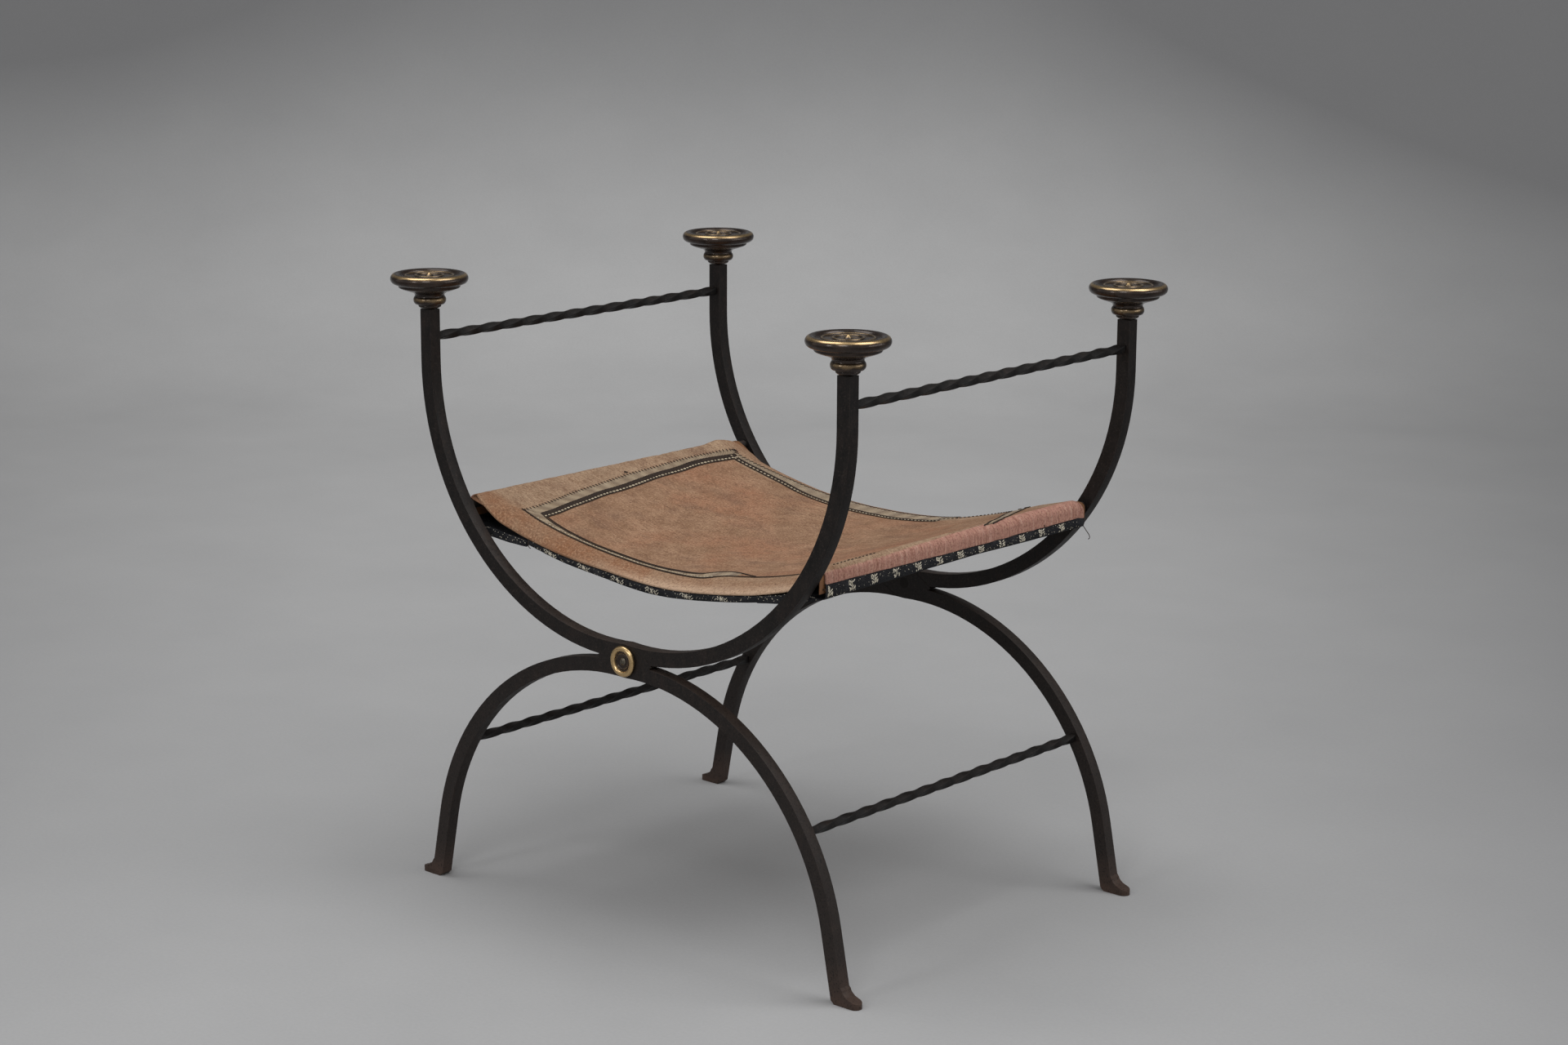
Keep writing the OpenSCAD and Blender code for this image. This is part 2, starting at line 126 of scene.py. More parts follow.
class Shader:
    """A material's node tree, with short calls for its nodes. Patterns lie on a cloth's flat coordinates,
    or else in space."""

    def __init__(self, name, on_cloth=False):
        self.material = bpy.data.materials.new(name)
        self.material.use_nodes = True
        self.tree = self.material.node_tree
        self.surface = self.tree.nodes["Principled BSDF"]
        self.at = self.value("flat", "Vector") if on_cloth else self.add("TexCoord").outputs["Object"]

    def add(self, kind, inputs=(), **settings):
        made = self.tree.nodes.new(f"ShaderNode{kind}")
        for key, value in settings.items():
            setattr(made, key, value)
        for key, value in dict(inputs).items():
            self.put(value, made.inputs[key])
        return made

    def put(self, value, socket):
        if isinstance(value, bpy.types.NodeSocket):
            self.tree.links.new(value, socket)
        else:
            socket.default_value = value

    def set(self, **values):
        for key, value in values.items():
            self.put(value, self.surface.inputs[key.replace("_", " ")])

    def value(self, name, output="Fac"):
        return self.add("Attribute", attribute_name=name).outputs[output]

    def split(self, vector, axis):
        return self.add("SeparateXYZ", {0: vector}).outputs[axis]

    def towards(self, direction):
        inputs = {0: self.at, 1: direction}
        return self.add("VectorMath", inputs, operation="DOT_PRODUCT").outputs["Value"]

    def noise(self, scale, detail, rough, stretch=None):
        at = self.at
        if stretch:
            at = self.add("VectorMath", {0: at, 1: stretch}, operation="MULTIPLY").outputs[0]
        inputs = {"Vector": at, "Scale": scale, "Detail": detail, "Roughness": rough}
        return self.add("TexNoise", inputs).outputs["Fac"]

    def wave(self, direction, inputs):
        return self.add("TexWave", {"Vector": self.at, **inputs}, bands_direction=direction).outputs["Fac"]

    def ramp(self, value, low, high, start=0.0, end=1.0, curve="LINEAR"):
        inputs = {"Value": value, "From Min": low, "From Max": high, "To Min": start, "To Max": end}
        return self.add("MapRange", inputs, interpolation_type=curve).outputs[0]

    def soft(self, value, low, high, start, end):
        return self.ramp(value, low, high, start, end, "SMOOTHSTEP")

    def mix(self, share, first, second):
        """Two colours mixed. Each is a socket, or red, green and blue as they look on a screen."""
        first, second = (srgb(*c) if isinstance(c, tuple) else c for c in (first, second))
        return self.add("Mix", {0: share, 6: first, 7: second}, data_type="RGBA").outputs[2]

    def blend(self, value, low, high, first, second, most=1.0):
        """A colour that turns from the first to the second, or to a part of it, as a value rises."""
        return self.mix(self.ramp(value, low, high, 0.0, most), first, second)

    def math(self, kind, first, second=0.0):
        return self.add("Math", {0: first, 1: second}, operation=kind).outputs[0]

    def times(self, first, second):
        return self.math("MULTIPLY", first, second)

    def bump(self, height, distance, strength, below=None):
        inputs = {"Height": height, "Distance": distance, "Strength": strength}
        made = self.add("Bump", inputs)
        if below is not None:
            self.put(below, made.inputs["Normal"])
        return made.outputs["Normal"]


def iron_material(name, dark, light, dust_and_top_light, low_grey=(56, 48, 44)):
    """Black iron, greyer near the floor, its upper faces dusted and painted lighter as if lit from above,
    with rust at its feet.
    """
    s = Shader(name)
    patches = s.noise(38, 5, 0.62)
    streaks = s.noise(170, 4, 0.6, (1, 1, 0.35))
    pits = s.noise(900, 3, 0.6)
    up = s.split(s.add("NewGeometry").outputs["Normal"], "Z")
    height = s.split(s.at, "Z")
    low = s.ramp(height, 0.004, 0.045, 1.0, 0.0)
    rust = s.times(s.ramp(patches, 0.46, 0.7), s.ramp(streaks, 0.35, 0.7))
    black = s.blend(streaks, 0.3, 0.75, dark, light)
    greyed = s.mix(s.ramp(height, 0.04, 0.4, 0.45, 0.0), black, low_grey)
    # Upper faces lighter: partly dust, partly painted light from above.
    dusted_and_top_lit = s.mix(s.times(s.ramp(up, 0.45, 0.95), s.ramp(patches, 0.25, 0.6, 0.3, 0.8)), greyed, dust_and_top_light)
    brown = s.mix(s.times(rust, 0.4), dusted_and_top_lit, (54, 41, 35))
    foot = s.mix(s.times(low, s.ramp(patches, 0.3, 0.6, 0.4, 1.0)), brown, (74, 58, 50))
    grains = s.noise(520, 2, 0.6)
    speckled = s.blend(grains, 0.6, 0.7, foot, (66, 57, 52), 0.4)
    pitted = s.blend(grains, 0.42, 0.34, speckled, (9, 8, 8), 0.7)
    s.set(Base_Color=pitted, Metallic=0.1, Specular_IOR_Level=0.25)
    s.set(Roughness=s.ramp(streaks, 0.25, 0.8, 0.42, 0.64))
    hammered = s.bump(s.noise(75, 3, 0.5), 0.0012, 0.3)
    s.set(Normal=s.bump(pits, 0.0002, 0.6, hammered))
    return s.material


def brass_material():
    s = Shader("patinated_brass")
    cloud = s.noise(90, 4, 0.6)
    fine = s.noise(500, 3, 0.6)
    worn = s.math("ADD", s.value("worn"), s.ramp(cloud, 0.3, 0.7, -0.12, 0.12))
    patina = s.blend(cloud, 0.35, 0.7, (35, 25, 19), (60, 46, 37))
    colour = s.blend(worn, 0.2, 0.95, patina, (196, 166, 120))
    s.set(Base_Color=colour, Metallic=s.ramp(worn, 0.1, 0.7, 0.55, 0.95))
    s.set(Roughness=s.ramp(fine, 0.3, 0.75, 0.22, 0.32), Coat_Weight=0.25, Coat_Roughness=0.08)
    s.set(Normal=s.bump(fine, 0.00004, 0.12))
    return s.material


def steel_material():
    """The pivot pins: bright at their outer ends, dark like the iron inside."""
    s = Shader("worn_pin")
    fine = s.noise(700, 3, 0.6)
    outer = s.ramp(s.math("ABSOLUTE", s.split(s.at, "Y")), 0.219, 0.222)
    steel = s.blend(fine, 0.3, 0.7, (70, 64, 58), (128, 121, 108))
    s.set(Base_Color=s.mix(outer, (30, 26, 24), steel), Metallic=s.ramp(outer, 0, 1, 0.1, 0.9))
    s.set(Roughness=s.ramp(outer, 0, 1, 0.65, 0.28), Specular_IOR_Level=0.2, Normal=s.bump(fine, 0.0001, 0.4))
    return s.material


def velvet_material():
    """Tan velvet: two tones, stains, worn rims, a pale front fringe and pink rolls, with painted shade in the
    rolls' creases and painted highlights on their ridges.
    """
    s = Shader("tan_velvet", True)
    broad = s.noise(8, 4, 0.6)
    clouds = s.noise(27, 5, 0.65)
    stains = s.noise(15, 4, 0.65, (1.2, 1.7, 1))
    brushed = s.noise(240, 4, 0.7, (0.4, 1.4, 1))
    fuzz = s.noise(420, 5, 0.8)
    across = s.noise(260, 5, 0.7, (0.1, 1, 1))
    ridges = s.noise(420, 3, 0.6, (0.06, 1, 1))
    nap = s.noise(1500, 3, 0.7)
    specks = s.noise(190, 1, 0.4)
    margin = s.blend(clouds, 0.3, 0.7, (146, 122, 99), (174, 150, 124))
    inner = s.blend(clouds, 0.3, 0.7, (124, 93, 69), (170, 137, 110))
    tan = s.mix(s.value("inside"), margin, inner)
    reddened = s.ramp(s.value("inside"), 0, 1, 0.15, 0.65)
    orange = s.mix(s.times(s.ramp(broad, 0.46, 0.64), reddened), tan, (160, 110, 83))
    mottles = s.noise(105, 4, 0.7, (0.8, 1.2, 1))
    mottled = s.blend(mottles, 0.48, 0.7, orange, (108, 78, 58), 0.75)
    stained = s.blend(stains, 0.51, 0.68, mottled, (108, 82, 67), 0.65)
    rim = s.mix(s.times(s.value("rim"), s.ramp(clouds, 0.2, 0.6)), stained, (137, 95, 67))
    fringe = s.mix(s.times(s.value("fringe"), s.ramp(brushed, 0.25, 0.55)), rim, (204, 175, 149))
    # The rolls' pink: painted shade in the creases and painted highlights on the ridges, on the same noise as
    # the creases' bump.
    deep = s.blend(across, 0.32, 0.5, (146, 98, 87), (184, 136, 122))
    pink_with_painted_light_and_shade = s.blend(across, 0.55, 0.72, deep, (212, 176, 161))
    uneven = s.math("ADD", s.value("roll"), s.ramp(brushed, 0.3, 0.7, -0.3, 0.3))
    roll = s.blend(uneven, 0.25, 0.75, fringe, pink_with_painted_light_and_shade)
    pile = s.blend(brushed, 0.36, 0.7, roll, (116, 84, 66), 0.4)
    speckled = s.blend(fuzz, 0.5, 0.66, pile, (94, 66, 52), 0.75)
    lit = s.blend(fuzz, 0.48, 0.32, speckled, (196, 163, 133), 0.65)
    dotted = s.blend(specks, 0.76, 0.8, lit, (74, 52, 42))
    s.set(Base_Color=dotted, Roughness=0.92, Sheen_Weight=0.08, Sheen_Roughness=0.5)
    s.set(Sheen_Tint=srgb(214, 176, 150), Specular_IOR_Level=0.15)
    furrows = s.math("ADD", s.times(s.value("rim"), ridges), s.times(s.value("roll"), across))
    shaped = s.bump(furrows, 0.0018, 0.9)
    s.set(Normal=s.bump(nap, 0.0004, 0.5, s.bump(brushed, 0.0009, 0.5, shaped)))
    return s.material


def leather_material():
    s = Shader("old_leather", True)
    grain = s.add("TexVoronoi", {"Vector": s.at, "Scale": 700.0}).outputs["Distance"]
    clouds = s.noise(40, 5, 0.6)
    colour = s.blend(clouds, 0.3, 0.7, (84, 54, 34), (132, 90, 55))
    s.set(Base_Color=colour, Roughness=s.ramp(clouds, 0.3, 0.7, 0.55, 0.75))
    s.set(Normal=s.bump(grain, 0.0003, 0.5, s.bump(clouds, 0.001, 0.3)))
    return s.material


def weave_material():
    s = Shader("black_weave", True)
    waves = {"Scale": 330.0, "Distortion": 1.4, "Detail": 2.0, "Detail Scale": 2.0}
    threads = s.times(s.wave("X", waves), s.wave("Y", waves))
    specks = s.noise(900, 2, 0.7)
    faded = s.noise(60, 3, 0.6)
    black = s.blend(threads, 0.0, 0.6, (16, 16, 19), (46, 47, 52))
    worn = s.blend(faded, 0.5, 0.75, black, (66, 66, 70), 0.5)
    colour = s.blend(specks, 0.64, 0.72, worn, (120, 117, 110))
    s.set(Base_Color=colour, Roughness=0.9, Specular_IOR_Level=0.25)
    s.set(Normal=s.bump(threads, 0.0006, 0.8, s.bump(specks, 0.0008, 0.5)))
    return s.material


def thread_material(name, light, dark):
    s = Shader(name, True)
    twist = s.noise(700, 3, 0.6)
    s.set(Base_Color=s.blend(twist, 0.3, 0.7, dark, light), Roughness=0.75)
    s.set(Specular_IOR_Level=0.2, Normal=s.bump(twist, 0.0003, 0.6))
    return s.material


def band_material():
    s = Shader("couched_band", True)
    laid = s.wave("X", {"Scale": 160.0, "Distortion": 1.2, "Detail": 1.5})
    clouds = s.noise(60, 4, 0.6)
    low = s.blend(clouds, 0.3, 0.7, (138, 118, 94), (164, 146, 120))
    s.set(Base_Color=s.blend(laid, 0.05, 0.6, (100, 79, 58), low), Roughness=0.8)
    s.set(Sheen_Weight=0.15, Normal=s.bump(laid, 0.0003, 0.7))
    return s.material


# Meshes, and the lines and grids of points they are made from


def mesh_object(name, points, faces, material, body=None, values=None, flat=None):
    """A mesh with its point values, its flat coordinates and its material."""
    mesh = bpy.data.meshes.new(name)
    mesh.from_pydata([tuple(p) for p in points], [], faces)
    mesh.validate()
    mesh.shade_smooth()
    for key, data in (values or {}).items():
        mesh.attributes.new(key, "FLOAT", "POINT").data.foreach_set("value", np.asarray(data, np.float32))
    if flat is not None:
        data = mesh.attributes.new("flat", "FLOAT_VECTOR", "POINT").data
        data.foreach_set("vector", np.asarray(flat, np.float32).ravel())
    mesh.materials.append(material)
    made = add_object(name, mesh)
    if body:
        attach(made, body)
    return made


def stand_in(node):
    """Hides a CAD node that a new piece takes the place of."""
    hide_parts(node)


def unit(v):
    return v / np.maximum(np.linalg.norm(v, axis=-1, keepdims=True), 1e-12)


def drift(a, b, c):
    """A smooth random value from -1 to 1 for a place in a field of noise."""
    return noise.noise(Vector((a, b, c)))


def bell(offset, width):
    return math.exp(-((offset / width) ** 2))


def filled(value, width):
    """A value's share of a width, kept from 0 to 1."""
    return np.clip(value / width, 0, 1)


def sign(value):
    return 1 if value > 0 else -1


def bent(start, bend, end, t):
    """A point of the curve from a start to an end that leans towards a bend."""
    return tuple((1 - t) ** 2 * start + 2 * t * (1 - t) * bend + t * t * end)


def run_lengths(points, axis=0):
    """Distances along the lines of points that run along an axis, from where each starts."""
    lengths = np.cumsum(np.linalg.norm(np.diff(points, axis=axis), axis=-1), axis=axis)
    return np.concatenate([np.zeros_like(np.take(lengths, [0], axis=axis)), lengths], axis=axis)


def interpolated(line, marks, at):
    """Points of a line where its marks, one for each given point, would have some values."""
    return np.stack([np.interp(at, marks, line[:, k]) for k in range(line.shape[1])], axis=1)


def smoothed(line, times):
    for _ in range(times):
        line[1:-1] = (line[:-2] + 2 * line[1:-1] + line[2:]) / 4
    return line


def normals(grid):
    """Unit normals of a grid of points, upward where the columns run along +X and the rows along +Y."""
    return unit(np.cross(np.gradient(grid, axis=1), np.gradient(grid, axis=0)))


def edge_distance(grid, axis):
    """For each point, its distance along one axis of the grid to the nearer end."""
    start = run_lengths(grid, axis)
    return np.minimum(start, np.take(start, [-1], axis=axis) - start)


def tube_faces(rings, turns, base=0, closed=False, flip=False):
    """Faces between each ring of points and the next, and back to the first if the tube is closed."""
    faces = []
    for i in range(rings if closed else rings - 1):
        low, high = base + i * turns, base + (i + 1) % rings * turns
        for j in range(turns):
            a, b = ((j + 1) % turns, j) if flip else (j, (j + 1) % turns)
            faces.append((low + a, low + b, high + b, high + a))
    return faces


def end_faces(rings, turns, base=0, flip=False):
    """The two flat faces that close a tube of rings."""
    low, high = (range(base + i * turns, base + (i + 1) * turns) for i in (0, rings - 1))
    return [tuple(low), tuple(reversed(high))] if flip else [tuple(reversed(low)), tuple(high)]


def tip_faces(low, high, rings, turns, base=0):
    """The faces that close a tube of rings with a point at either end."""
    last = base + (rings - 1) * turns
    around = [(j, (j + 1) % turns) for j in range(turns)]
    return [face for j, k in around for face in ((low, base + k, base + j), (high, last + j, last + k))]


def closed_sheet(name, grid, thickness, material, flat, values=None, normal=None):
    """A closed sheet round a grid of mid-surface points, with rounded edges on all four sides."""
    rows, cols = grid.shape[:2]
    normal = normals(grid) if normal is None else normal
    half = thickness / 2
    near = np.minimum(edge_distance(grid, 0), edge_distance(grid, 1))
    depth = half * np.sqrt(1 - (1 - np.clip(near / half, 0, 1)) ** 2)
    depth[0] = depth[-1] = 0
    depth[:, 0] = depth[:, -1] = 0
    top = (grid + normal * depth[..., None]).reshape(-1, 3)
    low = (grid - normal * depth[..., None]).reshape(-1, 3)
    index = np.arange(rows * cols).reshape(rows, cols)
    inside = np.zeros((rows, cols), bool)
    inside[1:-1, 1:-1] = True
    under = index.copy()
    under[inside] = rows * cols + np.arange(inside.sum())
    faces = []
    for i, j in np.ndindex(rows - 1, cols - 1):
        faces.append((index[i, j], index[i, j + 1], index[i + 1, j + 1], index[i + 1, j]))
        faces.append((under[i + 1, j], under[i + 1, j + 1], under[i, j + 1], under[i, j]))
    if np.sum(normals(grid) * normal) < 0:
        faces = [face[::-1] for face in faces]
    mask = inside.ravel()
    points = np.concatenate([top, low[mask]])

    def doubled(data):
        data = np.asarray(data, float).reshape(rows * cols, -1)
        return np.concatenate([data, data[mask]])

    values = {key: doubled(data)[:, 0] for key, data in (values or {}).items()}
    return mesh_object(name, points, faces, material, values=values, flat=doubled(flat))


def rim_steps(thickness):
    """Distances from a sheet's edge at which its rounded rim has points."""
    return [0.5 * thickness * share for share in (0, 0.06, 0.24, 0.55, 1)]


def rimmed(low, high, count, thickness, inset=0.0):
    """Places from low to high: a rim's own spacing at both ends, and even spacing between them."""
    ends = rim_steps(thickness)
    inner = np.linspace(low + inset, high - inset, count)[1:-1]
    return np.concatenate([[low + e for e in ends], inner, [high - e for e in reversed(ends)]])


def resample(points, count, thickness):
    """Points spaced evenly along a line, with the rim's own spacing at both ends."""
    s = run_lengths(points)
    return interpolated(points, s, rimmed(0.0, s[-1], count, thickness, rim_steps(thickness)[-1]))


def front_to_rear(edge, count):
    """Rows as (end, edge place, share): an edge's places, shares between the edges, and the places back."""
    between_edges = [(0, edge[-1], v) for v in np.linspace(-1, 1, count)]
    return [(-1, place, 0) for place in edge] + between_edges + [(1, place, 0) for place in reversed(edge)]


# The sling's main surface. It is the cover's top, and each layer lies at a depth below it. Each pair holds
# a value at the front edge and one at the rear edge, and what lies between is in proportion.

ROD_X, ROD_Z = middle("right_seat_rod", 0), middle("right_seat_rod", 2)
ROD_R = (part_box("right_seat_rod")[1][2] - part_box("right_seat_rod")[0][2]) / 2
ROLL_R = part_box("seat_cover")[1][2] - ROD_Z
COVER_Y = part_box("seat_cover")[1][1] + 1.5 * MM
LEATHER_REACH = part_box("seat_leather")[1][1] + 3 * MM
WAIST, SAG_Y = mm(5, 212)
COVER_T, FOLD_R, LEATHER_T, BAND_T = mm(1.2, 0.7, 1.3, 1.0)
LOW_X, LOW_Z = mm(10, 386)
CURVE_LEFT = (0.77, 0.64)
CURVE_RIGHT = (0.72, 0.96)
CLIMB_X = 200 * MM
LEAVE_LEFT = (14, 26)
LEAVE_RIGHT = (30, 12)
LEAVE_MORE = (14, 22)
MARGIN, MARGIN_MOST = 30 * MM, 1.05
DROOP, DROOP_SLOPE, DROOP_ROUND = 3.2 * MM, 0.036, 20 * MM
DROOP_X = 55 * MM
FRONT_DROP, FRONT_TILT = 4.5 * MM, -0.016
DROP_PLACES, DROPS = (-SAG_Y, -0.05, 0.05), mm(6.1, 8.0, 8.6)
ROLL_COUNT, CLIMB_COUNT, SAG_COUNT = 24, 16, 72

# By side and end: how far a corner of the cover is drawn in, over what reach, and the leather's share of it
CORNER_PULL = {
    (-1, 1): mm(20, 30),
    (-1, -1): mm(5, 16),
    (1, 1): mm(3, 14),
    (1, -1): mm(3, 12),
}
LEATHER_PULL = {(-1, 1): 0.66, (-1, -1): 0.75, (1, 1): 2.0, (1, -1): 0.75}


def between(pair, y):
    return pair[0] + (pair[1] - pair[0]) * (y + SAG_Y) / (2 * SAG_Y)


def half_width(x):
    """Where the cover's edge runs, drawn in at the middle of the sling."""
    return COVER_Y - WAIST * max(0.0, 1 - (x / ROD_X) ** 2)


def corner_pull(x, end):
    """How far the cover's edge is drawn in at the nearest corner, most at a roll's crest."""
    most, reach = CORNER_PULL[sign(x), end]
    inward = ROD_X - abs(x)
    if inward < 0:
        return most * (1 + 0.6 * max(-1.0, inward / ROLL_R))
    return most * max(0.0, 1 - inward / reach) ** 2.2


def cover_drop(y):
    """How far below the rod the cover's hem ends at one y."""
    return float(np.interp(y, DROP_PLACES, DROPS)) + 0.45 * MM * drift(y * 60, 8.3, 0)


def margin(x, y):
    """How far a point lies into the margin that bends down at the front and the rear."""
    into = abs(y) - half_width(x) + MARGIN
    return min(max(into / MARGIN, 0.0), MARGIN_MOST) ** 2


def sag_height(x, y):
    """Height of the cover's top over the sag."""
    curve = between(CURVE_RIGHT if x > LOW_X else CURVE_LEFT, y)
    off = (-x if y > 0 else x) + DROOP_X
    droop = DROOP + DROOP_SLOPE * math.hypot(off, DROOP_ROUND)
    if y < 0:
        droop += FRONT_DROP + FRONT_TILT * x
    return LOW_Z + curve * (x - LOW_X) ** 2 - droop * margin(x, y)


def sag(x, y):
    """Height and slope of the cover's top over the sag."""
    step = 0.5 * MM
    return sag_height(x, y), (sag_height(x + step, y) - sag_height(x - step, y)) / (2 * step)


def hermite(p, dp, q, dq, count):
    t = np.linspace(0, 1, count + 1)[1:-1, None]
    h = (2 * t**3 - 3 * t**2 + 1, t**3 - 2 * t**2 + t, 3 * t**2 - 2 * t**3, t**3 - t**2)
    return h[0] * p + h[1] * dp + h[2] * q + h[3] * dq


def side_profile(side, y, drops):
    """Points from a hem's lower edge, over the roll and down to where the climb starts."""
    more = LEAVE_MORE[1 if side * y < 0 else 0] * margin(ROD_X, y)
    leave = math.radians(between(LEAVE_RIGHT if side > 0 else LEAVE_LEFT, y) + more)
    axis = np.array([side * ROD_X, ROD_Z])
    hem = [axis + (side * ROLL_R, -d) for d in drops]
    turns = np.linspace(0, math.pi / 2 + leave, ROLL_COUNT)
    roll = [axis + ROLL_R * np.array([side * math.cos(a), math.sin(a)]) for a in turns]
    height, slope = sag(side * CLIMB_X, y)
    foot = np.array([side * CLIMB_X, height])
    span = np.linalg.norm(foot - roll[-1])
    away = np.array([-side * math.cos(leave), -math.sin(leave)]) * span
    level = np.array([-side, -side * slope]) / math.hypot(1, slope) * span
    climb = hermite(roll[-1], away, foot, level, CLIMB_COUNT)
    return np.array(hem + roll + list(climb))


def profile(y, drops):
    """The cover's top from the left hem's lower edge to the right one's, at one y."""
    xs = np.linspace(-CLIMB_X, CLIMB_X, SAG_COUNT)
    middle_part = np.array([(x, sag_height(x, y)) for x in xs])
    return np.concatenate([side_profile(-1, y, drops), middle_part, side_profile(1, y, drops)[::-1]])


def waviness(x, y):
    """Slack of the cloth: low, slow waves that die out towards the rolls."""
    calm = max(0.0, 1 - (x / ROD_X) ** 4)
    slow = drift(x * 11, y * 9, 0.3)
    quick = drift(x * 34, y * 26, 4.7)
    return (1.0 * slow + 0.3 * quick) * MM * calm


def creases(s, y):
    """Fine creases across a roll."""
    fine = 0.4 - abs(drift(s * 22, y * 210, 1.9))
    return 0.6 * MM * fine + 0.5 * MM * drift(s * 12, y * 45, 7.1)


def swell(x, y):
    """Lumps where the cover's turned edge lies on the rods' rear ends, and the droop beyond them."""
    if x > 0:
        return -3.2 * MM * filled(y - 197 * MM, 12 * MM) ** 2 * filled(x - ROD_X + 16 * MM, 10 * MM)
    near = filled(-x - ROD_X + 24 * MM, 16 * MM)
    return near * (2.8 * MM * bell(y - 172 * MM, 15 * MM) - 1.2 * MM * filled(y - 184 * MM, 8 * MM))


def layer(drops, rows, place):
    """A grid of points: each row is the profile at its y, sunk by a depth. drops and place are functions."""
    base = profile(0.0, drops(0.0))
    grid = np.zeros((rows, len(base), 3))
    for r in range(rows):
        y0, _ = place(r, 0.0)
        line = profile(y0, drops(y0))
        run = np.gradient(line, axis=0)
        out = unit(np.stack([-run[:, 1], run[:, 0]], axis=1))
        for c, (x, z) in enumerate(line):
            y, depth = place(r, x)
            grid[r, c] = (x - out[c, 0] * depth, y, z - out[c, 1] * depth)
    return grid


def across_cloth(grid):
    """Distances along the middle row of a grid, from its middle column."""
    s = run_lengths(grid[len(grid) // 2])
    return s - s[len(s) // 2]


def cover_rows():
    """Rows of the cover's edge from its turned end: distance in from the edge, and depth."""
    turned = [(9 * MM - d, 2 * FOLD_R) for d in rim_steps(COVER_T)] + [(4 * MM, 2 * FOLD_R)]
    fold = [(FOLD_R * (1 - math.sin(a)), FOLD_R * (1 - math.cos(a))) for a in np.linspace(math.pi, 0, 8)]
    near = [(d * MM, 0) for d in (2, 4, 7, 11, 16)]
    return turned + fold + near


# The cover's colours: at which angle of a roll its pink starts, where the embroidered frame lies, and
# how far in from the edge the rim and the fringe reach

PINK_Y = (-0.17, -0.12, -0.09, -0.03, 0.02, 0.07, 0.12)
PINK_TURN = (38, 42, 50, 66, 78, 92, 112)
FRAME_LEFT = ((-0.171, -0.1, 0.0, 0.1, 0.17), (-0.181, -0.191, -0.205, -0.217, -0.216))
FRAME_FRONT, FRAME_REAR = -0.179, 0.162
RIM_IN, RIM_WIDE, FRINGE_WIDE = mm(10, 14, 7)
COVER_COUNT, TURNED_ROWS = 190, 12


def make_cover(material):
    """The velvet cover with its turned edges, and its grid of points."""
    edge = cover_rows()
    rows = front_to_rear(edge, COVER_COUNT)
    inner = edge[-1][0] + 4 * MM

    def drops(y):
        drop = cover_drop(y)
        return [drop - d for d in rim_steps(COVER_T)] + [drop * share for share in (0.75, 0.5, 0.25)]

    def place(r, x):
        end, (inset, depth), v = rows[r]
        width = half_width(x) - corner_pull(x, sign(end + v))
        return (end * (width - inset) if end else v * (width - inner)), COVER_T / 2 + depth

    grid = layer(drops, len(rows), place)
    s = across_cloth(grid)
    flat = np.zeros_like(grid)
    values = {key: np.zeros(grid.shape[:2]) for key in ("rim", "roll", "fringe", "inside")}
    for r, c in np.ndindex(grid.shape[:2]):
        x, y, z = grid[r, c]
        lift = waviness(x, y) + swell(x, y)
        if abs(x) > ROD_X - 4 * MM:
            lift += creases(s[c], y)
        grid[r, c, 2] += lift
        flat[r, c] = (s[c], y if r > TURNED_ROWS else y - (TURNED_ROWS - r) * MM, 0)
        gap = half_width(x) - abs(y)
        values["rim"][r, c] = min(1.0, bell(gap - RIM_IN, RIM_WIDE) * (0.6 if y > 0 or x > 0 else 1.4))
        values["fringe"][r, c] = bell(gap, FRINGE_WIDE) * (y < 0) * filled(x + 0.1, 0.12)
        into = min(x - np.interp(y, *FRAME_LEFT), y - FRAME_FRONT, FRAME_REAR - y, ROD_X - x)
        values["inside"][r, c] = filled(into, 3 * MM)
        if abs(x) > ROD_X - ROLL_R:
            start = math.radians(60 if x < 0 else np.interp(y, PINK_Y, PINK_TURN))
            turn = math.atan2(z - ROD_Z, abs(x) - ROD_X)
            values["roll"][r, c] = np.clip((start - turn) / 0.4 + 0.5, 0, 1)
    return closed_sheet("seat_cover_velvet", grid, COVER_T, material, flat, values), grid


# The leather: how far it hangs below the rods, how far inside the cover's edge it lies at the middle, and
# where it starts to widen towards the rods
LEATHER_HEM, LEATHER_IN, LEATHER_GAP = mm(15.5, 6, 0.25)
WIDEN_X, WIDEN_OVER = 0.19, 0.05


def make_leather(material):
    lengths = [LEATHER_HEM - d for d in rim_steps(LEATHER_T)] + list(mm(12, 9, 6, 3))
    rows = front_to_rear(rim_steps(LEATHER_T) + list(mm(4, 9)), 24)
    depth = ROLL_R - ROD_R - LEATHER_GAP - LEATHER_T / 2

    def place(r, x):
        end, inset, v = rows[r]
        share = filled(abs(x) - WIDEN_X, WIDEN_OVER)
        width = half_width(x) - LEATHER_IN + (LEATHER_REACH - COVER_Y + LEATHER_IN) * share * share
        width -= LEATHER_PULL[sign(x), sign(end + v)] * corner_pull(x, sign(end + v))
        return (end * (width - inset) if end else v * (width - 14 * MM)), depth

    grid = layer(lambda y: lengths, len(rows), place)
    flat = np.zeros_like(grid)
    flat[..., 0] = across_cloth(grid)
    flat[..., 1] = grid[..., 1]
    return closed_sheet("seat_leather_sling", grid, LEATHER_T, material, flat)


# The woven bands

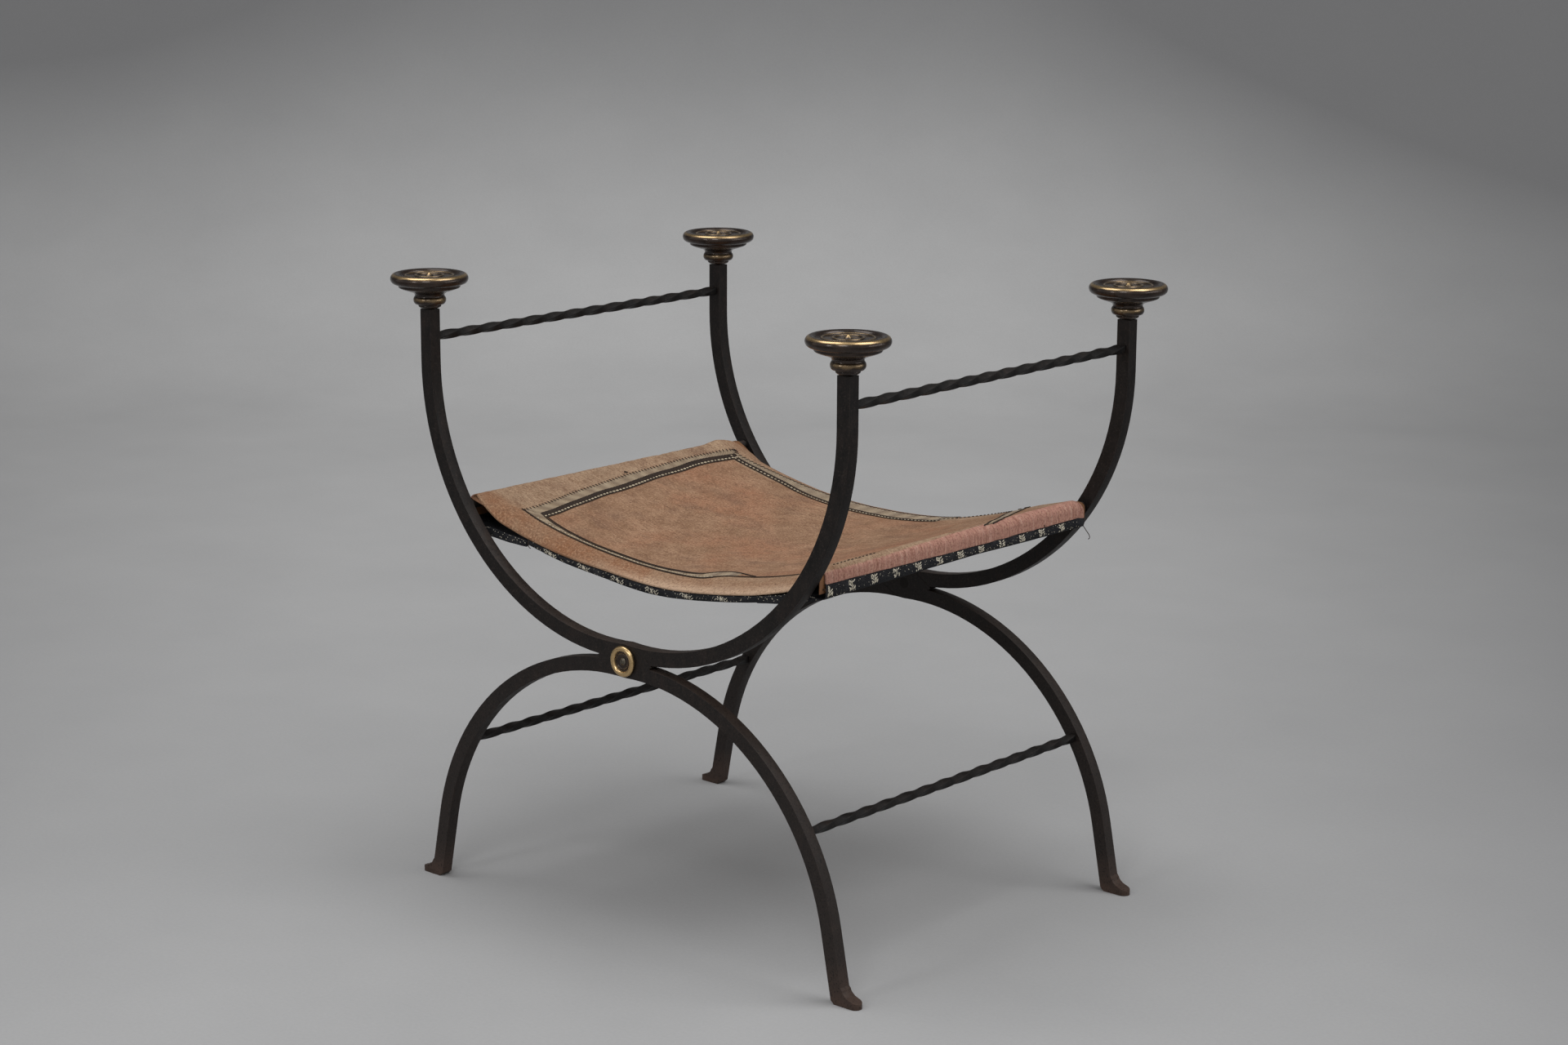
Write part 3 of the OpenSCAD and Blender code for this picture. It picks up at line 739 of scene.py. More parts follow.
EDGE_BAND_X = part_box("front_trim")[1][0]
EDGE_SECTION = [(-4, 3.0), (-2, 3.1), (-0.6, 3.3), (0.3, 4.1), (0.6, 5.6), (0.6, 7.2), (0.2, 8.6),
                (-0.9, 9.5), (-3, 9.9), (-7, 9.4), (-12, 8.6), (-17, 7.5), (-22, 6.0)]
EDGE_TOP = 3 * MM
HEM_IN_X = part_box("right_trim")[0][0]
HEM_PLACES = mm(-212, 30, 100, 212)
HEM_BOTTOM = {1: mm(21.2, 17.7, 18.8, 19.2), -1: mm(27, 20.2, 18.8, 17.2)}
FLAP = mm(12, 6.5)
FLAP_ROWS, CURL_ROWS, HEM_ROWS = 10, 4, 60
EDGE_POINTS, EDGE_COLUMNS, HEM_POINTS = 30, 70, 40
FLAP_COLUMN = 12
BEND_R, CURL_R = mm(2.5, 1.2)
UNEVEN = 0.5 * MM


def band_depth(x):
    """How much deeper than its section an edge band hangs, most a little left of its middle."""
    return 0.9 + 0.3 * bell(x + 8 * MM, 62 * MM) - 0.18 * filled(-x - 0.11, 0.05)


def make_edge_band(name, side, material):
    """A band folded round the leather's edge, under the cover's lip, and its grid of points."""
    path = resample(np.array(EDGE_SECTION) * MM, EDGE_POINTS, BAND_T)
    xs = rimmed(-EDGE_BAND_X, EDGE_BAND_X, EDGE_COLUMNS, BAND_T)
    grid = np.zeros((len(path), len(xs), 3))
    flat = np.zeros_like(grid)
    for c, x in enumerate(xs):
        edge = half_width(x)
        height, slope = sag(x, side * half_width(0))
        out = np.array([-slope, 1]) / math.hypot(1, slope)
        wave = waviness(x, side * edge)
        deep = band_depth(x)
        for r, (dy, depth) in enumerate(path):
            depth = EDGE_TOP + (depth - EDGE_TOP) * deep
            uneven = UNEVEN * drift(x * 45, r * 0.15, 3 + side)
            grid[r, c] = (x - out[0] * depth, side * (edge + dy + uneven), height + wave - out[1] * depth)
            flat[r, c] = (x, depth + 2 * side, 0)
    return closed_sheet(name, grid, BAND_T, material, flat), grid


def hem_path(side, y):
    """A hem band's mid-line at one y: from under the cover's edge, round a corner and in under the sling."""
    bottom = np.interp(y, HEM_PLACES, HEM_BOTTOM[side])
    drop = cover_drop(y)
    top = drop - 3 * MM
    r = BEND_R
    face = ROLL_R - 0.1 * MM
    points = [(face - 1.3 * MM, -top), (face - 1.2 * MM, -drop + 0.5 * MM), (face, -drop - 1.5 * MM)]
    points.append((face + 0.4 * MM, -(drop + bottom) / 2))
    turns = np.linspace(0, -math.pi / 2, 7)
    points += [(face - r + r * math.cos(a), -bottom + r + r * math.sin(a)) for a in turns]
    end = np.array([HEM_IN_X - ROD_X, sag_height(side * HEM_IN_X, y) - ROD_Z - 6.2 * MM])
    start = np.array(points[-1])
    bend = (start + end) / 2 - (0, 4 * MM)
    points += [bent(start, bend, end, t) for t in np.linspace(0, 1, 12)[1:]]
    return np.array([(side * (ROD_X + p[0]), ROD_Z + p[1]) for p in points])


def make_hem_band(name, side, material):
    """A band that closes a hem, with a flap turned up at its front and rear ends, and its grid of points."""
    width = COVER_Y - 0.6 * MM
    shares = [1 - d / FLAP[0] for d in rim_steps(BAND_T)] + [0.8, 0.6, 0.4, 0.2, 0.05]
    curl = [(CURL_R * (1 - math.sin(a)), None) for a in np.linspace(math.pi / 2, 0, CURL_ROWS + 1)[1:]]
    rows = front_to_rear([(0, up) for up in shares] + curl, HEM_ROWS)
    count = len(resample(hem_path(side, 0.0), HEM_POINTS, BAND_T))
    grid = np.zeros((len(rows), count, 3))
    flat = np.zeros_like(grid)
    for r, (end, (inset, up), v) in enumerate(rows):
        y = end * (width - inset) if end else v * (width - 2.5 * CURL_R)
        for c, (x, z) in enumerate(resample(hem_path(side, y), HEM_POINTS, BAND_T)):
            inner = filled(c - FLAP_COLUMN, FLAP_COLUMN)
            tall = 0.0
            if up is not None:
                reach = filled(ROD_X + ROLL_R - abs(x), ROD_X + ROLL_R - HEM_IN_X)
                tall = (FLAP[0] + (FLAP[1] - FLAP[0]) * reach) * up * inner
            uneven = UNEVEN * drift(c * 0.3, y * 50, 5 + side)
            grid[r, c] = (x + side * uneven * (1 - inner), y, z + tall + uneven * 0.5)
            flat[r, c] = (y + tall, c * 2 * MM, 0)
    return closed_sheet(name, grid, BAND_T, material, flat), grid


# Turned and twisted metal. Profiles are in millimetres, as (radius, height)


def arc(x, z, r, start, end, count):
    """Points along an arc, between angles in degrees."""
    return [(x + r * math.cos(a), z + r * math.sin(a)) for a in np.radians(np.linspace(start, end, count))]


def rounded(corners, r):
    """A line whose inner corners are rounded, with a point close by on either side to keep flats flat."""
    made = [corners[0]]
    for before, corner, after in zip(corners, corners[1:], corners[2:]):
        p = np.array(corner)
        back, on = np.array(before) - p, np.array(after) - p
        a = p + unit(back) * min(r, 0.4 * np.linalg.norm(back))
        b = p + unit(on) * min(r, 0.4 * np.linalg.norm(on))
        made.append(tuple(p + (a - p) * 1.2))
        made += [bent(a, p, b, t) for t in (0, 0.33, 0.67, 1)]
        made.append(tuple(p + (b - p) * 1.2))
    return made + [corners[-1]]


def lathe(name, profile, at, axis, material, body, wear=None, turns=96):
    """A closed turned piece. A profile that starts off the axis is a loop round a hole."""
    axis = np.array(axis, float)
    first = np.array(Vector(axis).orthogonal().normalized())
    second = np.cross(axis, first)
    hole = profile[0][0] > 0
    rings = profile if hole else profile[1:-1]
    angles = np.linspace(0, 2 * math.pi, turns, endpoint=False)
    round_unit = np.outer(np.cos(angles), first) + np.outer(np.sin(angles), second)
    at = np.array(at)
    points = [p for r, h in rings for p in at + axis * h * MM + round_unit * r * MM]
    worn = [wear(r, h) if wear else 0.0 for r, h in rings for _ in range(turns)]
    faces = tube_faces(len(rings), turns, closed=hole)
    if not hole:
        faces += tip_faces(len(points), len(points) + 1, len(rings), turns)
        points += [at + axis * profile[0][1] * MM, at + axis * profile[-1][1] * MM]
        worn += [worn[0], worn[-1]]
    return mesh_object(name, points, faces, material, body, {"worn": worn})


RIM_R, RIM_Z, RIM_T = 35.5, 31.2, 5.6
DISH_Z = 34.0
KNOB_RINGS = (25.2, 14.6)
KNOB_RING_T = 1.5
STUD_R, STUD_TOP = 5.05, 16.0


def knob_profile():
    foot = [(STUD_R, STUD_TOP), (STUD_R, 0), (10.2, 0), (12.0, 1.6), (12.1, 2.7), (11.5, 3.5)]
    bead = [(12.6, 4.0)] + arc(11.8, 8.5, 5.5, -48, 44, 14)
    neck = [(15.55, 13.4), (15.75, 14.5), (16.6, 15.7), (18.4, 16.8)]
    plate = rounded([(20.5, 17.6), (29.0, 20.4), (32.7, 22.0), (32.9, 24.6), (33.5, 25.8)], 0.9)
    rim = arc(RIM_R, RIM_Z, RIM_T, -100, 148, 40)
    top = rounded([rim[-1], (30.2, DISH_Z), (KNOB_RINGS[0] + 2.2, DISH_Z)], 0.5)[1:-1]
    for r in KNOB_RINGS:
        top += [(r + 1.9, DISH_Z), (r + 1.55, DISH_Z + 0.12)]
        top += arc(r, DISH_Z + 0.1, KNOB_RING_T - 0.2, 15, 165, 9)
        top += [(r - 1.55, DISH_Z + 0.12), (r - 1.9, DISH_Z), (r - 2.6, DISH_Z)]
    nub = [(5.2, 0), (4.5, 0.1), (4.1, 0.6), (3.3, 1.1), (1.0, 3.0), (0.5, 3.3), (0, 3.4)]
    top += [(r, DISH_Z + h) for r, h in nub]
    return [(0, STUD_TOP), (4.7, STUD_TOP)] + rounded(foot, 0.6)[1:-1] + bead + neck + plate + rim + top


def knob_wear(r, h):
    """How far the patina is rubbed off a knob: along the rim's shoulder, the rings, the nub and the bead."""
    shoulder = math.degrees(math.atan2(h - RIM_Z, r - RIM_R))
    rim = bell(shoulder - 54, 21) if r > 30 and h > RIM_Z else 0.0
    rings = max(0.0, h - DISH_Z) / KNOB_RING_T if r < 28 else 0.0
    bead = 0.4 * bell(h - 9.5, 3) if r > 15 and h < 14 else 0.0
    return min(1.0, max(rim, rings * 0.6, bead))


def make_knobs(material):
    for node in ("front_left_knob", "rear_left_knob", "front_right_knob", "rear_right_knob"):
        at = (middle(node, 0), middle(node, 1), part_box(node)[0][2])
        piece = lathe(f"{node}_turned", knob_profile(), at, (0, 0, 1), material, body_of(node), knob_wear)
        stand_in(node)


ROSETTE_R, ROSETTE_T, ROSETTE_FLOOR, ROSETTE_HOLE = 13.3, 3.0, 2.0, 4.05
GROOVE_R, BEAD_R = 10.1, 8.15


def rosette_wear(r, h):
    if r > GROOVE_R and h > 0.5:
        return 1.0
    return 0.2 if abs(r - BEAD_R) < 0.9 and h > 2.2 else -0.2


def make_rosettes(material):
    profile = [(ROSETTE_HOLE, 0), (ROSETTE_HOLE + 1, 0), (15.2, 0)]
    profile += arc(ROSETTE_R, ROSETTE_FLOOR, ROSETTE_T, -41, 176, 30)
    profile += [(GROOVE_R, ROSETTE_FLOOR), (9.4, ROSETTE_FLOOR - 0.05)]
    profile += arc(BEAD_R, ROSETTE_FLOOR, 0.75, 5, 175, 9)
    profile += [(7.0, ROSETTE_FLOOR - 0.05), (5.0, ROSETTE_FLOOR), (ROSETTE_HOLE, ROSETTE_FLOOR)]
    for node, side in (("front_rosette", -1), ("rear_rosette", 1)):
        low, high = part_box(node)
        at = (middle(node, 0), high[1] if side < 0 else low[1], middle(node, 2))
        piece = lathe(f"{node}_turned", profile, at, (0, side, 0), material, body_of(node), rosette_wear)
        stand_in(node)


ROD_TURNS = 3.5
ROD_RINGS = 180
ROD_SIDE, ARRIS, TENON_R, TENON_L = mm(8, 0.9, 3, 9)


def square_outline(half, r):
    """Points round a square with rounded corners."""
    made = []
    for quarter in range(4):
        turn = quarter * math.pi / 2
        for a in np.linspace(0, math.pi / 2, 4):
            x, z = half - r + r * math.cos(a), half - r + r * math.sin(a)
            made.append((x * math.cos(turn) - z * math.sin(turn), x * math.sin(turn) + z * math.cos(turn)))
        middle_turn = turn + math.pi / 2
        made.append((half * math.cos(middle_turn), half * math.sin(middle_turn)))
    return np.array(made)


def make_twisted_rod(node, seed, material):
    """A square rod twisted along its length, with a round tenon at each end."""
    x, z = middle(node, 0), middle(node, 2)
    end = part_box(node)[1][1] - TENON_L
    outline = square_outline(ROD_SIDE / 2, ARRIS)
    a, b = outline.T
    angles = np.arctan2(b, a)
    tenon = np.stack([np.cos(angles), np.sin(angles)], axis=1) * TENON_R
    rings = [(-end - TENON_L, tenon), (-end - 0.2 * MM, tenon)]
    for y in np.linspace(-end, end, ROD_RINGS):
        turn = -2 * math.pi * ROD_TURNS * (end - y) / (2 * end) + 0.12 * drift(y * 14, seed, 0.5)
        size = 1 - 0.03 * abs(drift(y * 20, seed, 3.5))
        c, s = math.cos(turn) * size, math.sin(turn) * size
        rings.append((y, np.stack([a * c - b * s, a * s + b * c], axis=1)))
    rings += [(end + 0.2 * MM, tenon), (end + TENON_L, tenon)]
    points = [(x + a, y, z + b) for y, ring in rings for a, b in ring]
    faces = tube_faces(len(rings), len(outline), flip=True) + end_faces(len(rings), len(outline), flip=True)
    piece = mesh_object(f"{node}_forged", points, faces, material, body_of(node))
    piece.data.set_sharp_from_angle(angle=math.radians(50))
    stand_in(node)


def make_seat_rod(node, material):
    low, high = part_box(node)
    length = (high[1] - low[1]) / MM
    r, t, l = ROD_R / MM, TENON_R / MM, TENON_L / MM
    corners = [(0, 0), (t, 0), (t, l), (r, l), (r, length - l), (t, length - l), (t, length), (0, length)]
    at = (middle(node, 0), low[1], middle(node, 2))
    piece = lathe(f"{node}_round", rounded(corners, 0.4), at, (0, 1, 0), material, body_of(node), turns=48)
    stand_in(node)


# Stitches, laid on the outer face of a grid of cloth


class Cloth:
    """Finds places on a grid of cloth by two coordinates, one that grows along columns and one along rows."""

    def __init__(self, grid, across, along_rows, lift, side=1):
        self.normal = normals(grid) * side
        self.grid = grid + self.normal * lift
        self.across = across
        self.along_rows = along_rows

    def at(self, u, v):
        """The point and the normal at two coordinates."""
        rows, cols = self.across.shape
        c = cols / 2
        for _ in range(3):
            r = np.interp(v, blend_line(self.along_rows, c, 1), range(rows))
            c = np.interp(u, blend_line(self.across, r, 0), range(cols))
        point, normal = [blend_line(blend_line(data, r, 0), c, 0) for data in (self.grid, self.normal)]
        return point, unit(normal)


def blend_line(data, place, axis):
    """The line of an array at a place between two of its indices."""
    low = int(min(max(place, 0), data.shape[axis] - 1.001))
    share = min(max(place - low, 0), 1)
    return np.take(data, low, axis=axis) * (1 - share) + np.take(data, low + 1, axis=axis) * share


STITCH_RINGS, STITCH_SIDES = 4, 6
TONE_STEP = 0.013


def stitches(name, parts, material):
    """Stitches merged into one mesh. Each part has its cloth and marks: start, end, width and height."""
    points, faces, flat = [], [], []
    angles = np.linspace(0, 2 * math.pi, STITCH_SIDES, endpoint=False)
    shares = np.linspace(0, 1, STITCH_RINGS + 2)
    every = [(cloth, mark) for cloth, marks in parts for mark in marks]
    for number, (cloth, (start, end, width, height)) in enumerate(every):
        start, end = np.array(start), np.array(end)
        line = [cloth.at(*(start + (end - start) * t)) for t in shares]
        low, high = line[0][0], line[-1][0]
        run = unit(high - low)
        length = np.linalg.norm(high - low)
        tone = number * TONE_STEP
        base = len(points)
        for t, (p, normal) in zip(shares[1:-1], line[1:-1]):
            plump = (1 - (2 * t - 1) ** 2) ** 0.35
            side = unit(np.cross(normal, run))
            for a in angles:
                rise = height * (0.25 + 0.5 * math.sin(a)) * plump
                points.append(p + side * (width / 2 * math.cos(a) * plump) + normal * rise)
                flat.append((t * length, a * width / 6, tone))
        faces += tube_faces(STITCH_RINGS, STITCH_SIDES, base)
        faces += tip_faces(len(points), len(points) + 1, STITCH_RINGS, STITCH_SIDES, base)
        points += [low, high]
        flat += [(0, 0, tone), (length, 0, tone)]
    return mesh_object(name, points, [face[::-1] for face in faces], material, flat=flat)


def walk(line, step, offset):
    """Points along a line, moved to its left by an offset, and each one's direction and left side."""
    s = run_lengths(line)
    at = np.linspace(0, s[-1], max(2, int(round(s[-1] / step)) + 1))
    fine = smoothed(interpolated(line, s, at), 3)
    run = unit(np.gradient(fine, axis=0))
    left = np.stack([-run[:, 1], run[:, 0]], axis=1)
    return fine + left * offset, run, left


# Marks of the embroidery's stitches along a line. Steps, sizes and offsets to its left are in millimetres

ROPE_LEAN, ROPE_OVERLAP = 0.25, 0.3


def rope(line, step, width, height, offset=0.0):
    """A line of stem stitch: short stitches that overlap and lean a little."""
    step, width, height = mm(step, width, height)
    at, run, left = walk(line, step, offset * MM)
    lean = (left * width * ROPE_LEAN)[:-1]
    starts = at[:-1] - run[:-1] * step * ROPE_OVERLAP - lean
    ends = at[1:] + run[1:] * step * ROPE_OVERLAP + lean
    return [(a, b, width, height) for a, b in zip(starts, ends)]


def dashes(line, step, length, width, height, offset=0.0):
    """A line of dashes, a little uneven."""
    step, length, width, height = mm(step, length, width, height)
    at, run, _ = walk(line, step, offset * MM)
    marks = []
    for i, p in enumerate(at):
        size = 1 + 0.3 * drift(i * 0.83, step * 90, 1.1)
        d = run[i] * length / 2 * size
        marks.append((p - d, p + d, width * size, height))
    return marks


def combs(line, step, length, width, height, slant, offset=0.0):
    """A row of short stitches across a line, each leaning by a slant."""
    step, length, width, height = mm(step, length, width, height)
    at, run, left = walk(line, step, offset * MM)
    marks = []
    for i, p in enumerate(at):
        d = unit(left[i] + run[i] * slant) * length / 2
        vary = drift(i * 0.71, slant, step)
        marks.append((p - d * (1 + 0.3 * vary), p + d * (1 + 0.25 * vary), width, height))
    return marks


LAID_STEP, LAID_PERIOD, LAID_T = mm(0.45, 1.8, 0.5)
LAID_SHARES = (0, 0.04, 0.2, 0.4, 0.6, 0.8, 0.96, 1)


def laid_band(name, cloth, outer, inner, material):
    """A strip of threads laid side by side between two lines."""
    count = int(run_lengths(outer)[-1] / LAID_STEP)
    runs = [run_lengths(line) for line in (outer, inner)]
    places = np.linspace(0, 1, count)
    a, b = (interpolated(line, s / s[-1], places) for line, s in zip((outer, inner), runs))
    grid = np.zeros((count, len(LAID_SHARES), 3))
    normal = np.zeros_like(grid)
    flat = np.zeros_like(grid)
    for i in range(count):
        ragged = 0.5 * MM * drift(int(i * LAID_STEP / LAID_PERIOD) * 0.9, 2.1, 0)
        ridge = 0.16 * MM * math.sin(2 * math.pi * i * LAID_STEP / LAID_PERIOD)
        for j, t in enumerate(LAID_SHARES):
            p = a[i] + (b[i] - a[i]) * t + unit(b[i] - a[i]) * ragged * (1 - 2 * t)
            grid[i, j], normal[i, j] = cloth.at(*p)
            grid[i, j] += normal[i, j] * ridge
            flat[i, j] = (i * LAID_STEP, t * np.linalg.norm(b[i] - a[i]), 0)
    return closed_sheet(name, grid, LAID_T, material, flat, None, normal)


# Short hanging threads, each as places in millimetres
THREADS = (
    ((249, 210.5, 405), (250.2, 212, 401.2), (252.6, 213, 397.6), (256.9, 213, 393.4), (257.7, 213, 390.4),
     (256, 212.5, 388.8)),
    ((-159, -210.8, 396), (-158.4, -212.3, 391), (-156.4, -212.8, 387.5), (-154, -212.8, 387)),
    ((248.5, -210.4, 409), (250.5, -211.8, 411.5), (253, -212, 411), (254.5, -212, 408.5)),
)
THREAD_R, THREAD_SIDES, THREAD_RINGS = 0.45 * MM, 6, 20


def loose_threads(name, material):
    """The hanging threads, as thin tubes."""
    points, faces, flat = [], [], []
    for line in THREADS:
        at = np.linspace(0, len(line) - 1, THREAD_RINGS)
        fine = smoothed(interpolated(np.array(line, float) * MM, range(len(line)), at), 4)
        run = unit(np.gradient(fine, axis=0))
        first = unit(np.cross(run, (0, 1, 0.01)))
        second = np.cross(run, first)
        base = len(points)
        for i, p in enumerate(fine):
            for a in np.linspace(0, 2 * math.pi, THREAD_SIDES, endpoint=False):
                points.append(p + (first[i] * math.cos(a) + second[i] * math.sin(a)) * THREAD_R)
                flat.append((i * MM, a * THREAD_R, base))
        faces += tube_faces(THREAD_RINGS, THREAD_SIDES, base) + end_faces(THREAD_RINGS, THREAD_SIDES, base)
    return mesh_object(name, points, faces, material, flat=flat)


# The embroidery's lines on the cover, each as places (x, y) in millimetres
LINES = {
    "left_ticks": [(-193.9, -183.5), (-195.5, -160), (-200.6, -127), (-207, -96), (-213, -48), (-219.3, 0),
                   (-222.6, 48), (-225.9, 84), (-227, 120), (-226.8, 157), (-223.5, 178.4)],
    "left_dark": [(-179, -171), (-181, -150), (-186, -127), (-192, -90), (-196.8, -64.6), (-199.3, -30.5),
                  (-203, -5), (-209.3, 34), (-212, 73.5), (-216.8, 101), (-217.5, 124), (-216.6, 146),
                  (-215.2, 169.4)],
    "front_outer": [(-193.9, -183.5), (-174, -184.9), (-137, -184.8), (-98, -184.3), (-58, -184.5),
                    (0, -184.5), (41, -186), (60, -187.2), (70, -187), (77, -184.5), (90, -178.6),
                    (103, -177.4), (133, -179.5), (159, -178.7), (192, -180.6)],
    "front_inner": [(-181, -170), (-168, -174.4), (-154, -176.2), (-136, -178), (-98, -179.7), (-60, -179.3),
                    (-5, -179.2), (34, -178.8), (52, -178.2), (59, -175), (62, -168), (71, -158.6),
                    (81, -156.6), (100, -162), (130, -175.6)],
    "rear_ticks": [(-223.5, 178.4), (-180, 181.5), (-130, 184), (-60, 184.5), (0, 184), (65, 185),
                   (104, 183.5)],
    "rear_dark": [(-215.2, 169.4), (-176, 170), (-155, 169.5), (-133, 168), (-108, 163), (-86, 160),
                  (-64, 157.7), (-27, 156.4), (-5, 157), (29.5, 156), (61, 157), (94, 160)],
    "rear_fade": [(90, 168), (115, 175), (137, 179.5), (160, 180), (180, 173)],
    "right_dots": [(244.5, -190), (244, -160), (243.6, -128)],
    "right_inner": [(246, 44), (244.3, 54.8), (238, 71), (229.2, 88), (216, 113), (202.8, 137.8), (192, 158),
                    (184, 173)],
    "right_outer": [(246.5, 58), (244.9, 69), (242, 83), (234, 102), (223.4, 124.8), (213.8, 150.2),
                    (205, 168), (200.8, 177)],
}
SLANT_LEFT, SLANT_REAR = 0.1, 0.75

# Ropes of the frame: line, how many of its places, step, width, height and offsets, in millimetres
ROPES = (
    ("left_dark", None, 5, 2.0, 0.8, (-2.1, -0.7, 0.7, 2.1)),
    ("left_dark", None, 4, 1.8, 0.6, (-3.7, -5.3, -6.9)),
    ("front_outer", None, 3.6, 1.8, 1.0, (0,)),
    ("front_inner", None, 3.6, 1.6, 0.9, (0,)),
    ("front_inner", 10, 3.6, 1.3, 0.8, (2.6,)),
    ("rear_dark", None, 4.2, 2.0, 0.8, (-1.0, 1.0)),
    ("rear_dark", None, 4, 1.9, 0.8, (-6.2,)),
    ("rear_dark", 5, 4, 3.4, 0.5, (-3.6,)),
)
STITCH_LIFT = 0.45 * MM


def make_embroidery(grid, dark, cream, beige):
    """The cover's embroidery: laid bands, ticks, chains and outlines. Returns its pieces."""
    edge = len(cover_rows())
    hem = len(rim_steps(COVER_T)) + 5
    top = grid[edge - 1:1 - edge, hem:-hem]
    cloth = Cloth(top, top[..., 0], top[..., 1], COVER_T / 2)
    above = Cloth(top, top[..., 0], top[..., 1], COVER_T / 2 + STITCH_LIFT)
    line = {name: np.array(places) * MM for name, places in LINES.items()}
    marks = combs(line["left_ticks"], 5.1, 4.8, 1.1, 0.8, SLANT_LEFT)
    marks += combs(line["rear_ticks"], 5.4, 6.0, 1.1, 0.8, SLANT_REAR, -1)
    for name, count, step, width, height, offsets in ROPES:
        for offset in offsets:
            marks += rope(line[name][:count], step, width, height, offset)
    marks += dashes(line["rear_fade"], 5.0, 3.8, 1.7, 0.9)
    marks += dashes(line["right_dots"], 5.5, 4.2, 1.0, 0.7)
    for name in ("right_inner", "right_outer"):
        marks += rope(line[name], 3.6, 1.8, 0.9)
    marks += knots()
    pale = dashes(line["left_dark"], 5.6, 4.4, 2.5, 1.1, -4.7)
    pale += dashes(line["rear_dark"][:5], 5.6, 4.3, 2.4, 1.0, -3.6)
    pale += dashes(line["rear_dark"][4:], 4.6, 3.2, 1.6, 0.8, -3.6)
    pale += dashes(line["front_outer"][1:10], 4.6, 3.2, 1.5, 0.9, 2.2)
    pieces = [stitches("dark_stitches", [(above, marks)], dark)]
    pieces.append(stitches("cream_chain_stitches", [(above, pale)], cream))
    rear_inner = np.vstack([line["rear_dark"], mm(100, 168)])
    for name, outer, inner in (
        ("left", line["left_ticks"], line["left_dark"]),
        ("front", line["front_outer"][:12], line["front_inner"][:14]),
        ("rear", line["rear_ticks"], rear_inner),
        ("right", line["right_outer"], line["right_inner"]),
    ):
        pieces.append(laid_band(f"laid_band_{name}", cloth, outer, inner, beige))
    return pieces


KNOTS = [(-224, 2), (-194, -183.5), (-222, 180), (-216, 172), (204, 176), (198, 179), (192, 176)]


def knots():
    """Small tangles of dark thread on the embroidery's corners and where a thread has come loose."""
    marks = []
    for x, y in KNOTS:
        p = np.array((x, y)) * MM
        for k in range(5):
            turn = 1.3 * k + x
            d = np.array((math.cos(turn), math.sin(turn))) * (2.2 + 0.7 * (k % 3)) * MM
            marks.append((p - d * 0.4, p + d, 0.8 * MM, 1.1 * MM))
    return marks


# The figures woven in white on the black bands, as strokes from -1 to 1 across and from 0 to 1 down

DIAMOND = [(-0.3, 0.12, 0.3, 0.92), (0.3, 0.12, -0.3, 0.92), (0, 0.06, 0, 0.98), (-0.4, 0.52, 0.4, 0.52),
           (-1, 0.5, -0.66, 0.08), (-0.66, 0.08, -0.36, 0.46), (-0.88, 0.82, -0.62, 0.42),
           (-0.62, 0.42, -0.4, 0.72), (1, 0.5, 0.66, 0.94), (0.66, 0.94, 0.36, 0.56), (0.88, 0.2, 0.62, 0.6),
           (0.62, 0.6, 0.4, 0.3)]
LEAF = [(0, 0.06, 0, 0.96), (-0.75, 0.1, -0.1, 0.3), (0.75, 0.1, 0.1, 0.3), (-0.8, 0.34, -0.1, 0.54),
        (0.8, 0.34, 0.1, 0.54), (-0.75, 0.6, -0.1, 0.8), (0.75, 0.6, 0.1, 0.8), (-0.75, 0.12, -0.7, 0.5),
        (0.78, 0.5, 0.7, 0.86), (-0.4, 0.2, -0.35, 0.42), (0.4, 0.46, 0.36, 0.66), (-0.4, 0.7, -0.36, 0.9)]
FRONT_STEP, FRONT_HALF, FRONT_SHIFT = mm(48.4, 9.5, 15)
HEM_STEP, HEM_HALF, HEM_SHIFT = mm(34, 6.2, -18.5)
FRONT_TOP, HEM_TOP = mm(3.3, 3.4)
WORN_AWAY = -0.42
FLAP_FLECKS = 34


def figure(strokes, centre, half, top, tall, weight, seed):
    """Marks of one figure round a place along the band, a little worn and uneven."""
    marks = []
    for k, (a, b, c, d) in enumerate(strokes):
        wear = drift(seed * 3.7, k * 1.9, 0.4)
        if wear < WORN_AWAY:
            continue
        shift = 0.12 * wear
        start = ((a + shift) * half + centre, top + b * tall)
        end = ((c + shift) * half + centre, top + d * tall)
        marks.append((start, end, weight * (1 + 0.3 * wear), 0.6 * MM))
    return marks


def fleck(draw, p, sizes, width, height, tall=1.0):
    """Mark of a short white thread at a place, turned any way. tall is the height that v counts as 1."""
    turn, size = draw.uniform(0, math.pi), draw.uniform(*sizes) * MM
    d = np.array((math.cos(turn) * size, math.sin(turn) * size / tall)) / 2
    return p - d, p + d, width * MM, height * MM


def flecks(length, top, tall, seed, spacing):
    """Marks of the white threads that show between the figures."""
    draw = np.random.default_rng(seed)
    marks = []
    for x in np.arange(-length, length, spacing):
        x = x + draw.uniform(-1, 1) * spacing
        p = np.array((x, top + draw.uniform(0.05, 0.95) * tall(x)))
        marks.append(fleck(draw, p, (0.5, 1.5), 0.55, 0.45))
    return marks


